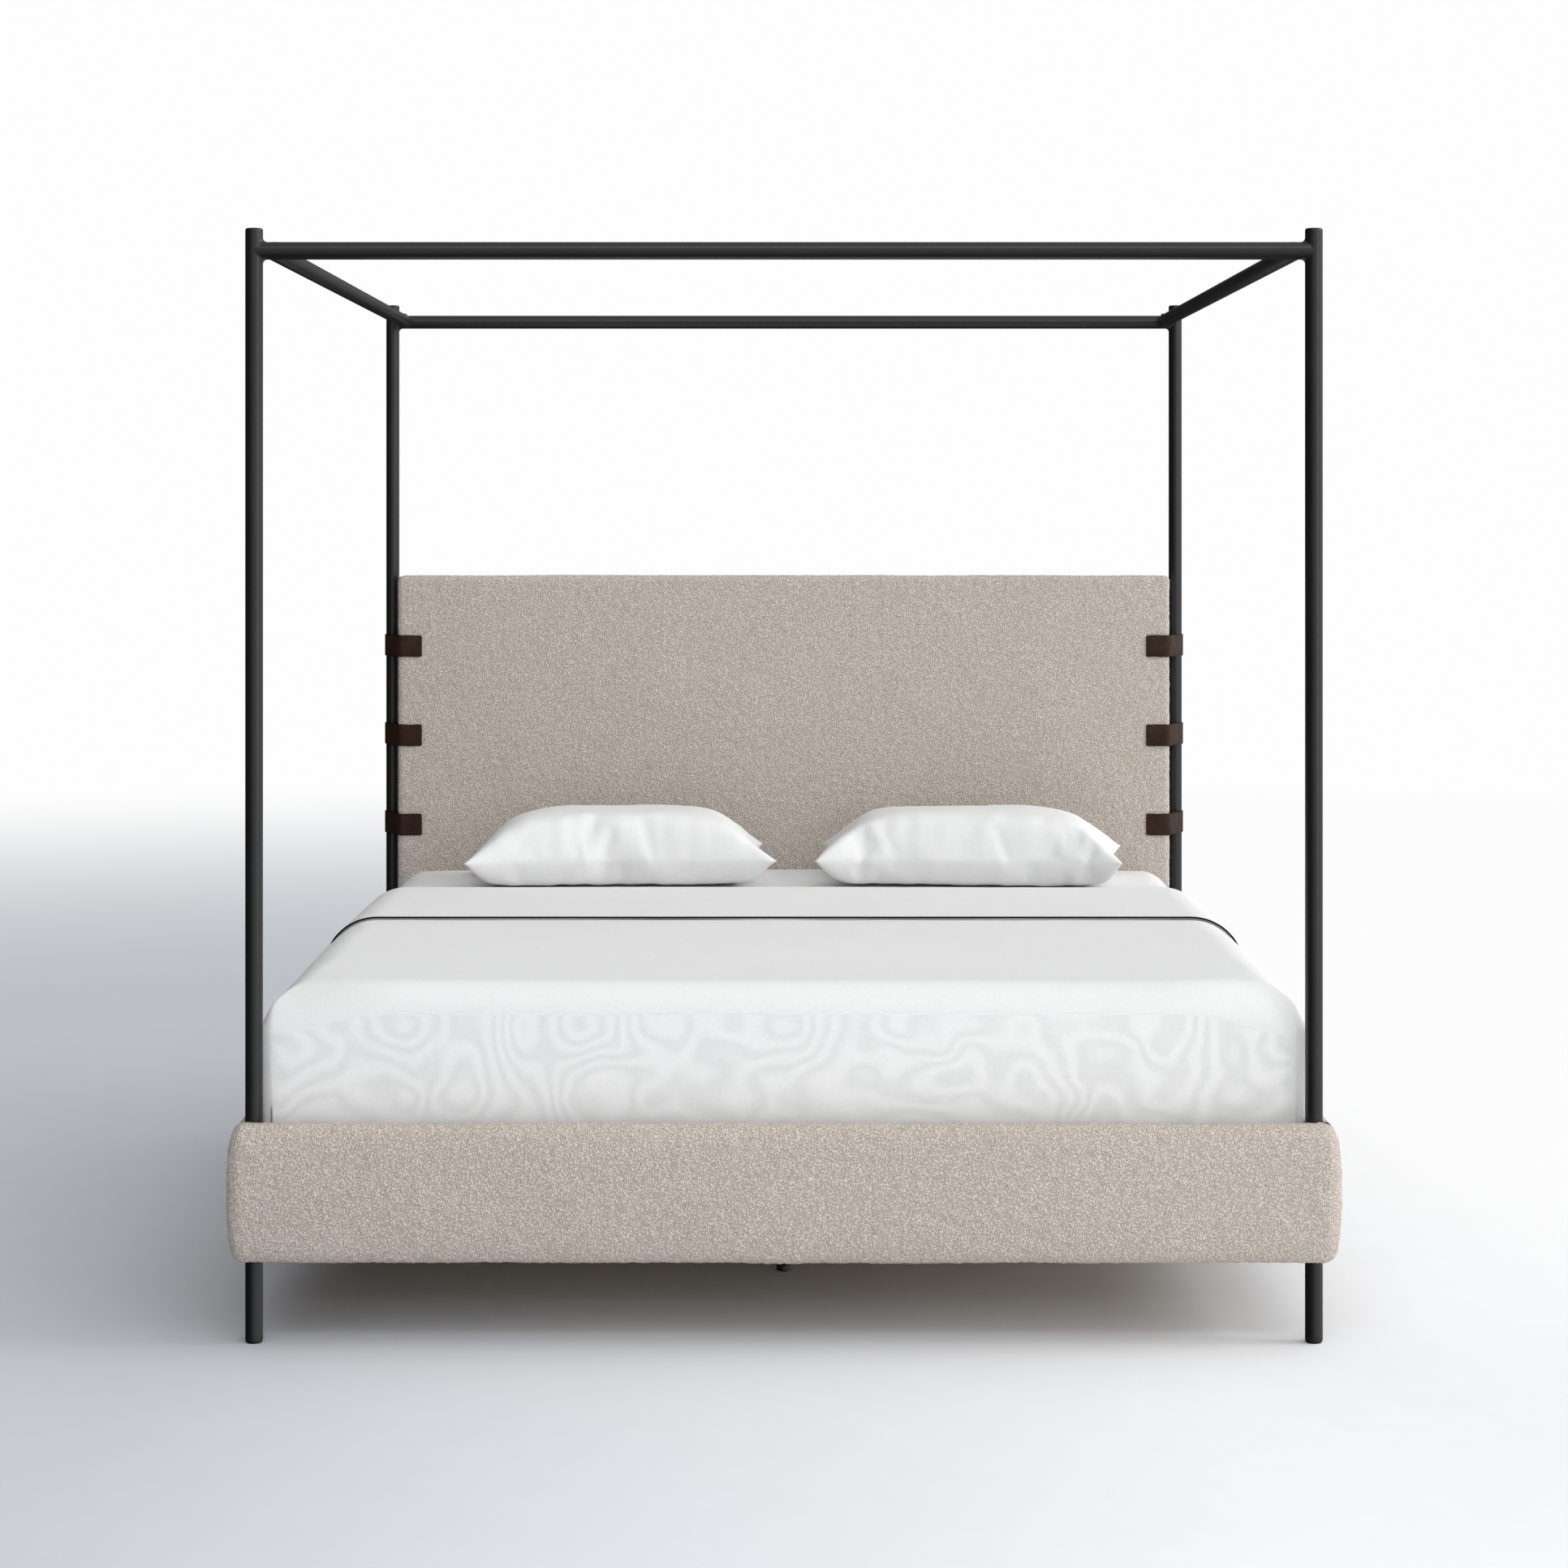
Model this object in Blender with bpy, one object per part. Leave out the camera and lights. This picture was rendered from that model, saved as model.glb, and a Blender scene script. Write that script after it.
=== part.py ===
"""Four poster canopy bed, king size: a black tube frame, an upholstered headboard held to the rear posts
by leather straps, upholstered rails, a slatted base, a mattress with its bedding, and two pillows.
Metres, +Z up, the foot end towards -Y, standing on z = 0 with the origin at the middle of its outline."""

import math

import bmesh
import bpy
from mathutils import Vector

GAP = 0.0003
EDGE_STEPS = 4

# Round tube frame.
TUBE_R = 0.0165
TUBE_WALL = 0.002
SIDES = 24
BOLT_SIDES = 12
POST_X = 0.989
FRONT_Y = -1.064
REAR_Y = 1.106
POST_TOP = 2.080
CAP_H = 0.006
PLUG_R = TUBE_R - TUBE_WALL - GAP
GLIDE_H = 0.012
CANOPY_Z = 2.037
SIDE_RAIL_X = 0.956
BOLT_INSET = 0.0345
BOLT_R = 0.004
BOLT_HEAD_R = 0.007
SPIGOT_LENGTH = 0.075
SPIGOT_WALL = 0.0025
CROSS_TUBE_Z = 0.173

# Upholstered rails round the base.
RAIL_Z0 = 0.1555
RAIL_Z1 = 0.4135
RAIL_OUT_X = 1.036
FOOT_FRONT_Y = -1.126
FOOT_BACK_Y = -1.081
RAIL_CORNER_R = 0.033
RAIL_END_Y = 1.122
COVER_SKIN = 0.0035
BOARD_IN_X = 0.986
PAD_IN_X = POST_X + TUBE_R + 0.0005
# Height above the lower edge and inset of the padded rail's outer face, from bottom to top.
RAIL_BULGE = (
    (0.000, 0.0270),
    (0.004, 0.0185),
    (0.012, 0.0120),
    (0.026, 0.0070),
    (0.048, 0.0035),
    (0.088, 0.0010),
    (0.128, 0.0000),
    (0.173, 0.0010),
    (0.213, 0.0040),
    (0.234, 0.0080),
    (0.246, 0.0130),
    (0.254, 0.0195),
    (0.258, 0.0270),
)

# Headboard and its straps.
HEAD_X = 0.965
HEAD_Y0 = 1.010
HEAD_Y1 = 1.100
HEAD_Z0 = 0.190
HEAD_Z1 = 1.397
HEAD_EDGE_R = 0.012
HEAD_PADDING = 0.020
STRAP_Z = (0.776, 0.999, 1.222)
STRAP_NAMES = ("lower", "middle", "upper")
STRAP_H = 0.054
STRAP_T = 0.003
STRAP_END_X = 0.905
STRAP_BACK_X = 0.930
STRAP_BACK_END_X = 0.890

# Base: ledgers, centre beam, legs and slats.
SLAT_Z0 = 0.345
SLAT_Z1 = 0.3635
SLAT_COUNT = 14
SLAT_W = 0.080
SLAT_HALF = 0.980
BASE_Y0 = -1.020
BASE_Y1 = 0.985
LEDGER_X0 = 0.955
LEDGER_H = 0.030
BEAM_HALF = 0.020
LEG_Y = 0.474
LEG_R = 0.0155
LEVELLER_H = 0.018
STUD_R = 0.005
STUD_TOP = 0.075

# Mattress and bedding.
MATTRESS_X = 0.965
MATTRESS_Y0 = -1.030
MATTRESS_Y1 = 1.000
MATTRESS_Z0 = 0.364
MATTRESS_Z1 = 0.670
MATTRESS_R = 0.085
COVER_X = 0.981
COVER_Y0 = -1.039
COVER_Y1 = 0.430
COVER_Z0 = 0.372
COVER_Z1 = 0.678
FOLD_X = 0.985
FOLD_Y0 = -0.150
FOLD_Z0 = 0.400
FOLD_Z1 = 0.686
PILLOW_HALF_X = 0.362
PILLOW_HALF_Y = 0.216
PILLOW_SEAM_Z = 0.736
PILLOW_Z0 = 0.6705
PILLOW_Z1 = 0.839
PILLOWS = (("pillow_left", -0.383, 0.692, 4.0), ("pillow_right", 0.434, 0.692, -4.0))


def clear_scene():
    for obj in list(bpy.data.objects):
        bpy.data.objects.remove(obj, do_unlink=True)


def material(name, colour, roughness, metallic=0.0):
    found = bpy.data.materials.get(name)
    if found:
        return found
    made = bpy.data.materials.new(name)
    made.use_nodes = True
    shader = made.node_tree.nodes["Principled BSDF"]
    shader.inputs["Base Color"].default_value = (*colour, 1.0)
    shader.inputs["Roughness"].default_value = roughness
    shader.inputs["Metallic"].default_value = metallic
    return made


def steel():
    return material("black_powder_coat", (0.025, 0.025, 0.026), 0.42)


def plastic():
    return material("black_plastic", (0.02, 0.02, 0.02), 0.45)


def zinc():
    return material("dark_zinc", (0.10, 0.10, 0.10), 0.35, 0.9)


def boucle():
    return material("boucle", (0.46, 0.40, 0.36), 0.95)


def plywood():
    return material("plywood", (0.55, 0.42, 0.28), 0.7)


def pine():
    return material("pine", (0.70, 0.55, 0.36), 0.65)


def leather():
    return material("brown_leather", (0.030, 0.018, 0.013), 0.5)


def cotton():
    return material("white_cotton", (0.80, 0.80, 0.79), 0.9)


def ticking():
    return material("mattress_ticking", (0.76, 0.76, 0.75), 0.9)


def build(name, points, faces, surface, at=(0.0, 0.0, 0.0)):
    """A mesh object from world points, with its origin moved to `at` and its faces turned outwards."""
    mesh = bpy.data.meshes.new(name)
    origin = Vector(at)
    mesh.from_pydata([Vector(p) - origin for p in points], [], faces)
    shape = bmesh.new()
    shape.from_mesh(mesh)
    bmesh.ops.recalc_face_normals(shape, faces=shape.faces)
    if shape.calc_volume(signed=True) < 0:
        bmesh.ops.reverse_faces(shape, faces=shape.faces)
    shape.to_mesh(mesh)
    shape.free()
    obj = bpy.data.objects.new(name, mesh)
    obj.location = origin
    bpy.context.collection.objects.link(obj)
    if surface:
        mesh.materials.append(surface)
    return obj


def cut(obj, tool, operation="DIFFERENCE"):
    tool.hide_render = True
    tool.display_type = "WIRE"
    modifier = obj.modifiers.new(operation.lower() + "_" + tool.name, "BOOLEAN")
    modifier.operation = operation
    modifier.solver = "EXACT"
    modifier.object = tool


def loft(rings):
    """Points and faces of a closed body through rings of the same number of points."""
    count = len(rings[0])
    points = [p for ring in rings for p in ring]
    faces = [list(range(count)), list(range((len(rings) - 1) * count, len(rings) * count))]
    for level in range(len(rings) - 1):
        for i in range(count):
            j = (i + 1) % count
            a, b = level * count, (level + 1) * count
            faces.append([a + i, a + j, b + j, b + i])
    return points, faces


def box(name, low, high, surface):
    outline = [(low[0], low[1]), (high[0], low[1]), (high[0], high[1]), (low[0], high[1])]
    return extrusion(name, outline, low[2], high[2], surface)


def extrusion(name, outline, z0, z1, surface):
    """A plan outline taken straight up from z0 to z1."""
    rings = [[(x, y, z) for x, y in outline] for z in (z0, z1)]
    return build(name, *loft(rings), surface)


def turned(name, profile, at, surface, sides=SIDES, looped=False):
    """A profile of (radius, height) pairs turned about the vertical through `at`. Its ends are capped,
    or, where it is looped, joined to each other round a way through the middle."""
    points, faces = [], []
    for radius, height in profile:
        for i in range(sides):
            angle = math.tau * i / sides
            x = at[0] + radius * math.cos(angle)
            y = at[1] + radius * math.sin(angle)
            points.append((x, y, at[2] + height))
    for level in range(len(profile) if looped else len(profile) - 1):
        a, b = level * sides, (level + 1) % len(profile) * sides
        for i in range(sides):
            j = (i + 1) % sides
            faces.append([a + i, a + j, b + j, b + i])
    if not looped:
        last = (len(profile) - 1) * sides
        faces += [list(range(sides)), list(range(last, last + sides))]
    return build(name, points, faces, surface, at)


def tube(name, start, end, radius, wall, surface, cross=None, cope=(0.0, 0.0)):
    """A round tube from start to end. Each end may be coped round a crossing tube that runs along
    `cross` through that end's point; cope is the crossing tube's radius, or 0 for a square end."""
    start, end = Vector(start), Vector(end)
    along = (end - start).normalized()
    side = along.orthogonal().normalized()
    up = along.cross(side)
    lateral = along.cross(Vector(cross)) if cross else side
    rings = []
    for r, ends in ((radius, (0, 1)), (radius - wall, (1, 0))):
        for which in ends:
            ring = []
            for i in range(SIDES):
                angle = math.tau * i / SIDES
                offset = (side * math.cos(angle) + up * math.sin(angle)) * r
                reach = 0.0
                if cope[which]:
                    reach = math.sqrt((cope[which] + GAP) ** 2 - offset.dot(lateral) ** 2)
                base = start + along * reach if which == 0 else end - along * reach
                ring.append(base + offset)
            rings.append(ring)
    points = [p for ring in rings for p in ring]
    faces = []
    for level in range(4):
        a, b = level * SIDES, (level + 1) % 4 * SIDES
        for i in range(SIDES):
            j = (i + 1) % SIDES
            faces.append([a + i, a + j, b + j, b + i])
    return build(name, points, faces, surface, start)


def quarter(radius):
    """(inset, drop) pairs round a rounded edge, from the side face to the flat top."""
    turns = [math.pi / 2 * i / EDGE_STEPS for i in range(EDGE_STEPS + 1)]
    return [(radius * (1 - math.cos(a)), radius * (1 - math.sin(a))) for a in turns]


def rounded_plan(low, high, corner, square_back=False):
    """A rectangle's plan outline with rounded corners. With square_back its two +Y corners are sharp."""
    outline = []
    centres = (
        (high[0] - corner, high[1] - corner, 0.0),
        (low[0] + corner, high[1] - corner, 90.0),
        (low[0] + corner, low[1] + corner, 180.0),
        (high[0] - corner, low[1] + corner, 270.0),
    )
    for cx, cy, turn in centres:
        if square_back and turn < 180.0:
            outline.append((low[0] if turn else high[0], high[1]))
            continue
        for step in range(EDGE_STEPS + 1):
            angle = math.radians(turn + 90.0 * step / EDGE_STEPS)
            outline.append((cx + corner * math.cos(angle), cy + corner * math.sin(angle)))
    return outline


def soft_slab(name, low, high, plan_r, edge_r, surface, bottom_r=None, flat_back=False):
    """A padded slab: rounded in plan, with rounded upper edges and, unless 0, rounded lower ones."""
    bottom_r = edge_r if bottom_r is None else bottom_r
    levels = [(low[2] + drop, inset) for inset, drop in reversed(quarter(bottom_r))]
    if not bottom_r:
        levels = [(low[2], 0.0)]
    levels += [(high[2] - drop, inset) for inset, drop in quarter(edge_r)]
    rings = []
    for z, inset in levels:
        back = 0.0 if flat_back else inset
        a = (low[0] + inset, low[1] + inset)
        b = (high[0] - inset, high[1] - back)
        ring = rounded_plan(a, b, max(plan_r - inset, 0.004), flat_back)
        rings.append([(x, y, z) for x, y in ring])
    return build(name, *loft(rings), surface)


def posts():
    bottom, top = GLIDE_H + GAP, POST_TOP - CAP_H - GAP
    for end, y in (("front", FRONT_Y), ("rear", REAR_Y)):
        for side, x in (("left", -POST_X), ("right", POST_X)):
            tube(f"post_{end}_{side}", (x, y, bottom), (x, y, top), TUBE_R, TUBE_WALL, steel())
            cap = [
                (PLUG_R, POST_TOP - 0.026),
                (PLUG_R, POST_TOP - CAP_H),
                (TUBE_R, POST_TOP - CAP_H),
                (TUBE_R, POST_TOP - 0.0035),
                (TUBE_R - 0.0012, POST_TOP - 0.0014),
                (TUBE_R - 0.0045, POST_TOP - 0.0004),
                (TUBE_R - 0.0100, POST_TOP),
            ]
            turned(f"post_cap_{end}_{side}", cap, (x, y, 0.0), steel())
            glide = [
                (TUBE_R - 0.0040, 0.0),
                (TUBE_R - 0.0012, 0.0022),
                (TUBE_R, 0.0060),
                (TUBE_R, GLIDE_H),
                (PLUG_R, GLIDE_H),
                (PLUG_R, 0.034),
            ]
            turned(f"foot_glide_{end}_{side}", glide, (x, y, 0.0), plastic())


def canopy_end_rails():
    for end, y in (("front", FRONT_Y), ("rear", REAR_Y)):
        ends = ((-POST_X, y, CANOPY_Z), (POST_X, y, CANOPY_Z))
        name = f"canopy_rail_{end}"
        tube(name, *ends, TUBE_R, TUBE_WALL, steel(), (0, 0, 1), (TUBE_R, TUBE_R))
    ends = ((-POST_X, REAR_Y, CROSS_TUBE_Z), (POST_X, REAR_Y, CROSS_TUBE_Z))
    tube("rear_cross_tube", *ends, TUBE_R, TUBE_WALL, steel(), (0, 0, 1), (TUBE_R, TUBE_R))


def bolt_hole(name, x, y):
    """A cutter for the hole through the upper walls of a rail and its spigot."""
    profile = [(BOLT_R + GAP, 0.0), (BOLT_R + GAP, TUBE_R + 0.004)]
    return turned(name, profile, (x, y, CANOPY_Z), None, BOLT_SIDES)


def canopy_side_rails():
    for side, x in (("left", -SIDE_RAIL_X), ("right", SIDE_RAIL_X)):
        ends = ((x, FRONT_Y, CANOPY_Z), (x, REAR_Y, CANOPY_Z))
        rail = tube(
            f"canopy_rail_{side}", *ends, TUBE_R, TUBE_WALL, steel(), (1, 0, 0), (TUBE_R, TUBE_R)
        )
        for end, rail_y, inward in (("front", FRONT_Y, 1), ("rear", REAR_Y, -1)):
            tag = f"{end}_{side}"
            bolt_y = rail_y + inward * BOLT_INSET
            reach = rail_y + inward * SPIGOT_LENGTH
            spigot = tube(
                f"canopy_spigot_{tag}",
                (x, rail_y, CANOPY_Z),
                (x, reach, CANOPY_Z),
                PLUG_R,
                SPIGOT_WALL,
                steel(),
                (1, 0, 0),
                (TUBE_R, 0.0),
            )
            hole = bolt_hole(f"bolt_hole_{tag}", x, bolt_y)
            cut(rail, hole)
            cut(spigot, hole)
            canopy_bolt(tag, x, bolt_y)


def canopy_bolt(tag, x, y):
    """A button-head bolt through the rail's upper wall, screwed into the spigot."""
    bolt = [
        (BOLT_R, 0.003),
        (BOLT_R, TUBE_R + GAP),
        (BOLT_HEAD_R, TUBE_R + GAP),
        (BOLT_HEAD_R, TUBE_R + 0.0012),
        (BOLT_HEAD_R * 0.78, TUBE_R + 0.0025),
        (BOLT_HEAD_R * 0.36, TUBE_R + 0.0031),
    ]
    turned(f"canopy_bolt_{tag}", bolt, (x, y, CANOPY_Z), zinc(), BOLT_SIDES)


def foot_rail():
    rings = []
    for height, inset in RAIL_BULGE:
        low = (-RAIL_OUT_X + inset, FOOT_FRONT_Y + inset * 0.8)
        high = (RAIL_OUT_X - inset, FOOT_BACK_Y)
        corner = max(RAIL_CORNER_R - inset * 0.8, 0.008)
        ring = rounded_plan(low, high, corner, True)
        rings.append([(x, y, RAIL_Z0 + height) for x, y in ring])
    cover = build("foot_rail_upholstery", *loft(rings), boucle())
    half, front = RAIL_OUT_X - 0.050, FOOT_FRONT_Y + 0.0225
    z0, z1 = RAIL_Z0 + 0.022, RAIL_Z1 - 0.022
    low = (-half - GAP, front - GAP, z0 - GAP)
    cut(cover, box("foot_board_pocket", low, (half + GAP, FOOT_BACK_Y + 0.01, z1 + GAP), None))
    box("foot_rail_board", (-half, front, z0), (half, FOOT_BACK_Y, z1), plywood())


def side_rails():
    front, back = FRONT_Y + TUBE_R + 0.0005, REAR_Y - TUBE_R - 0.0005
    for side, s in (("left", -1), ("right", 1)):
        rings = []
        for height, inset in RAIL_BULGE:
            out = RAIL_OUT_X - inset
            turn = max(0.018 - inset * 0.6, 0.001)
            outline = [
                (out, FOOT_BACK_Y + 0.0005),
                (out, RAIL_END_Y - turn),
                (out - turn * 0.30, RAIL_END_Y - turn * 0.30),
                (out - turn, RAIL_END_Y),
                (PAD_IN_X, RAIL_END_Y),
                (PAD_IN_X, back),
                (BOARD_IN_X, back),
                (BOARD_IN_X, front),
                (PAD_IN_X, front),
                (PAD_IN_X, FOOT_BACK_Y + 0.0005),
            ]
            rings.append([(s * x, y, RAIL_Z0 + height) for x, y in outline])
        cover = build(f"side_rail_{side}_upholstery", *loft(rings), boucle())
        z0, z1 = RAIL_Z0 + COVER_SKIN, RAIL_Z1 - COVER_SKIN
        inner, outer = BOARD_IN_X - 0.01, PAD_IN_X
        xs = sorted((s * inner, s * outer))
        low = (xs[0], front - 0.01, z0)
        pocket = box(f"side_pocket_{side}", low, (xs[1], back + 0.01, z1), None)
        cut(cover, pocket)
        xs = sorted((s * BOARD_IN_X, s * (outer - GAP)))
        low = (xs[0], front + GAP, z0 + GAP)
        box(f"side_rail_{side}_board", low, (xs[1], back - GAP, z1 - GAP), plywood())


def headboard():
    low = (-HEAD_X, HEAD_Y0, HEAD_Z0)
    high = (HEAD_X, HEAD_Y1, HEAD_Z1)
    cover = soft_slab("headboard_upholstery", low, high, HEAD_EDGE_R, HEAD_EDGE_R, boucle())
    half, front = HEAD_X - HEAD_PADDING, HEAD_Y0 + HEAD_PADDING
    z0, z1 = HEAD_Z0 + HEAD_PADDING, HEAD_Z1 - HEAD_PADDING
    low = (-half - GAP, front - GAP, z0 - GAP)
    cut(cover, box("headboard_pocket", low, (half + GAP, HEAD_Y1 + 0.01, z1 + GAP), None))
    box("headboard_core", (-half, front, z0), (half, HEAD_Y1 - 0.002, z1), plywood())


def arc(centre, radius, first, last, steps):
    turns = [first + (last - first) * i / steps for i in range(steps + 1)]
    return [(centre[0] + radius * math.cos(a), centre[1] + radius * math.sin(a)) for a in turns]


def strap_path():
    """The strap's centre line in plan, on the +X side: from the headboard's face round its edge, tight to
    the far side of the post, round it, and back to the headboard's rear face."""
    stand_off = STRAP_T / 2 + GAP
    edge = (HEAD_X - HEAD_EDGE_R, HEAD_Y0 + HEAD_EDGE_R)
    post = (POST_X, REAR_Y)
    edge_r, post_r = HEAD_EDGE_R + stand_off, TUBE_R + stand_off
    across = Vector(post) - Vector(edge)
    heading = math.atan2(across.y, across.x)
    leave = heading - math.acos((edge_r - post_r) / across.length)
    back = (STRAP_BACK_X, HEAD_Y1 + stand_off)
    home = Vector(back) - Vector(post)
    arrive = math.atan2(home.y, home.x) % math.tau - math.acos(post_r / home.length)
    path = [(STRAP_END_X, HEAD_Y0 - stand_off)]
    path += arc(edge, edge_r, -math.pi / 2, leave, 4)
    path += arc(post, post_r, leave, arrive, 9)
    return path + [back, (STRAP_BACK_END_X, HEAD_Y1 + stand_off)]


def ribbon(path, half):
    """The outline of a strip of even thickness along a path."""
    sides = ([], [])
    for i, point in enumerate(path):
        before = Vector(path[max(i - 1, 0)])
        after = Vector(path[min(i + 1, len(path) - 1)])
        first = (Vector(point) - before) if i else (after - Vector(point))
        second = (after - Vector(point)) if i < len(path) - 1 else first
        mitre = (first.normalized() + second.normalized()).normalized()
        reach = half / max(mitre.dot(first.normalized()), 0.5)
        normal = Vector((mitre.y, -mitre.x)) * reach
        sides[0].append(tuple(Vector(point) + normal))
        sides[1].append(tuple(Vector(point) - normal))
    return sides[0] + sides[1][::-1]


def straps():
    outline = ribbon(strap_path(), STRAP_T / 2)
    for side, s in (("left", -1), ("right", 1)):
        for level, z in zip(STRAP_NAMES, STRAP_Z):
            plan = [(s * x, y) for x, y in outline]
            name = f"strap_{side}_{level}"
            extrusion(name, plan, z - STRAP_H / 2, z + STRAP_H / 2, leather())


def corner_brackets():
    """A joggled steel bracket in each corner, from the rail's board past the post."""
    t = 0.004
    by_post, by_board = POST_X - TUBE_R - 0.0005, BOARD_IN_X - GAP
    foot = FOOT_BACK_Y + GAP
    front = [
        (0.900, foot),
        (by_post, foot),
        (by_post, FRONT_Y + TUBE_R + 0.002),
        (by_board, FRONT_Y + TUBE_R + 0.002),
        (by_board, FRONT_Y + 0.100),
        (by_board - t, FRONT_Y + 0.100),
        (by_board - t, FRONT_Y + TUBE_R + 0.002 + t),
        (by_post - t, FRONT_Y + TUBE_R + 0.002 + t),
        (by_post - t, foot + t),
        (0.900, foot + t),
    ]
    rear = [
        (by_post, REAR_Y + 0.014),
        (by_post, REAR_Y - TUBE_R - 0.002),
        (by_board, REAR_Y - TUBE_R - 0.002),
        (by_board, REAR_Y - 0.100),
        (by_board - t, REAR_Y - 0.100),
        (by_board - t, REAR_Y - TUBE_R - 0.002 - t),
        (by_post - t, REAR_Y - TUBE_R - 0.002 - t),
        (by_post - t, REAR_Y + 0.014),
    ]
    for end, outline in (("front", front), ("rear", rear)):
        for side, s in (("left", -1), ("right", 1)):
            plan = [(s * x, y) for x, y in outline]
            extrusion(f"rail_bracket_{end}_{side}", plan, 0.205, 0.305, zinc())


def base():
    ledger_top = SLAT_Z0 - GAP
    for side, s in (("left", -1), ("right", 1)):
        xs = sorted((s * LEDGER_X0, s * (BOARD_IN_X - GAP)))
        low = (xs[0], -1.035, ledger_top - LEDGER_H)
        box(f"slat_ledger_{side}", low, (xs[1], 1.000, ledger_top), pine())
    low = (-BEAM_HALF, -1.0805, ledger_top - LEDGER_H)
    beam = box("centre_beam", low, (BEAM_HALF, 1.0095, ledger_top), steel())
    wall = TUBE_WALL
    low = (-BEAM_HALF + wall, -1.10, ledger_top - LEDGER_H + wall)
    cut(beam, box("centre_beam_bore", low, (BEAM_HALF - wall, 1.03, ledger_top - wall), None))
    for end, y in (("front", -LEG_Y), ("rear", LEG_Y)):
        centre_leg(end, y, ledger_top - LEDGER_H - GAP)


def centre_leg(end, y, top):
    """A leg tube with a threaded plate in its foot, and the screw leveller that turns in the plate."""
    bottom, plate = LEVELLER_H + GAP, 0.006
    bore = STUD_R + GAP
    inside = LEG_R - TUBE_WALL
    leg = [
        (bore, bottom),
        (LEG_R, bottom),
        (LEG_R, top),
        (inside, top),
        (inside, bottom + plate),
        (bore, bottom + plate),
    ]
    turned(f"centre_leg_{end}", leg, (0.0, y, 0.0), steel(), looped=True)
    leveller = [
        (LEG_R - 0.0030, 0.0),
        (LEG_R - 0.0008, 0.0018),
        (LEG_R, 0.0045),
        (LEG_R, 0.0120),
        (LEG_R - 0.0030, LEVELLER_H),
        (STUD_R, LEVELLER_H),
        (STUD_R, STUD_TOP),
    ]
    turned(f"leveller_{end}", leveller, (0.0, y, 0.0), plastic())


def slats():
    """Sprung slats joined by webbing tapes, as one roll."""
    pitch = (BASE_Y1 - BASE_Y0 - SLAT_W) / (SLAT_COUNT - 1)
    roll = None
    for i in range(SLAT_COUNT):
        y = BASE_Y0 + pitch * i
        low, high = (-SLAT_HALF, y, SLAT_Z0), (SLAT_HALF, y + SLAT_W, SLAT_Z1)
        slat = box("slat_roll" if i == 0 else f"slat_{i + 1}", low, high, pine())
        if roll:
            slat.hide_render = True
        else:
            roll = slat
    middle = (SLAT_Z0 + SLAT_Z1) / 2
    for n, x in enumerate((-0.620, 0.0, 0.620)):
        low = (x - 0.014, BASE_Y0 + 0.02, middle - 0.001)
        tape = box(f"webbing_{n + 1}", low, (x + 0.014, BASE_Y1 - 0.02, middle + 0.001), None)
        cut(roll, tape, "UNION")
    for i in range(1, SLAT_COUNT):
        cut(roll, bpy.data.objects[f"slat_{i + 1}"], "UNION")


def bedding():
    low = (-MATTRESS_X, MATTRESS_Y0, MATTRESS_Z0)
    high = (MATTRESS_X, MATTRESS_Y1, MATTRESS_Z1)
    soft_slab("mattress", low, high, 0.060, MATTRESS_R, ticking(), 0.020)
    coverlet()
    sheet_fold()


def coverlet():
    """The quilted coverlet over the foot end: one skin over the top, both sides and the foot."""
    low, high = (-COVER_X, COVER_Y0, COVER_Z0), (COVER_X, COVER_Y1, COVER_Z1)
    skin = soft_slab("coverlet", low, high, 0.068, MATTRESS_R + 0.004, cotton(), 0.0, True)
    low = (-MATTRESS_X - GAP, MATTRESS_Y0 - GAP, COVER_Z0 - 0.05)
    high = (MATTRESS_X + GAP, COVER_Y1 + 0.12, MATTRESS_Z1 + GAP)
    cut(skin, soft_slab("coverlet_inside", low, high, 0.060, MATTRESS_R, None, 0.0, True))


def sheet_fold():
    """The top sheet's folded band, over the coverlet's head end."""
    low, high = (-FOLD_X, FOLD_Y0, FOLD_Z0), (FOLD_X, COVER_Y1, FOLD_Z1)
    rings = over_profile(low, high, MATTRESS_R + 0.006)
    band = build("top_sheet_fold", *loft(rings), cotton())
    low = (-COVER_X - GAP, FOLD_Y0 - 0.05, FOLD_Z0 - 0.05)
    high = (COVER_X + GAP, COVER_Y1 + 0.05, COVER_Z1 + GAP)
    cut(band, build("fold_inside", *loft(over_profile(low, high, MATTRESS_R + 0.004)), None))


def over_profile(low, high, radius):
    """End rings of a bar along Y whose section has rounded upper edges."""
    section = [(low[0], low[2]), (high[0], low[2])]
    section += [(high[0] - inset, high[2] - drop) for inset, drop in quarter(radius)]
    section += [(low[0] + inset, high[2] - drop) for inset, drop in reversed(quarter(radius))]
    return [[(x, y, z) for x, z in section] for y in (low[1], high[1])]


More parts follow.
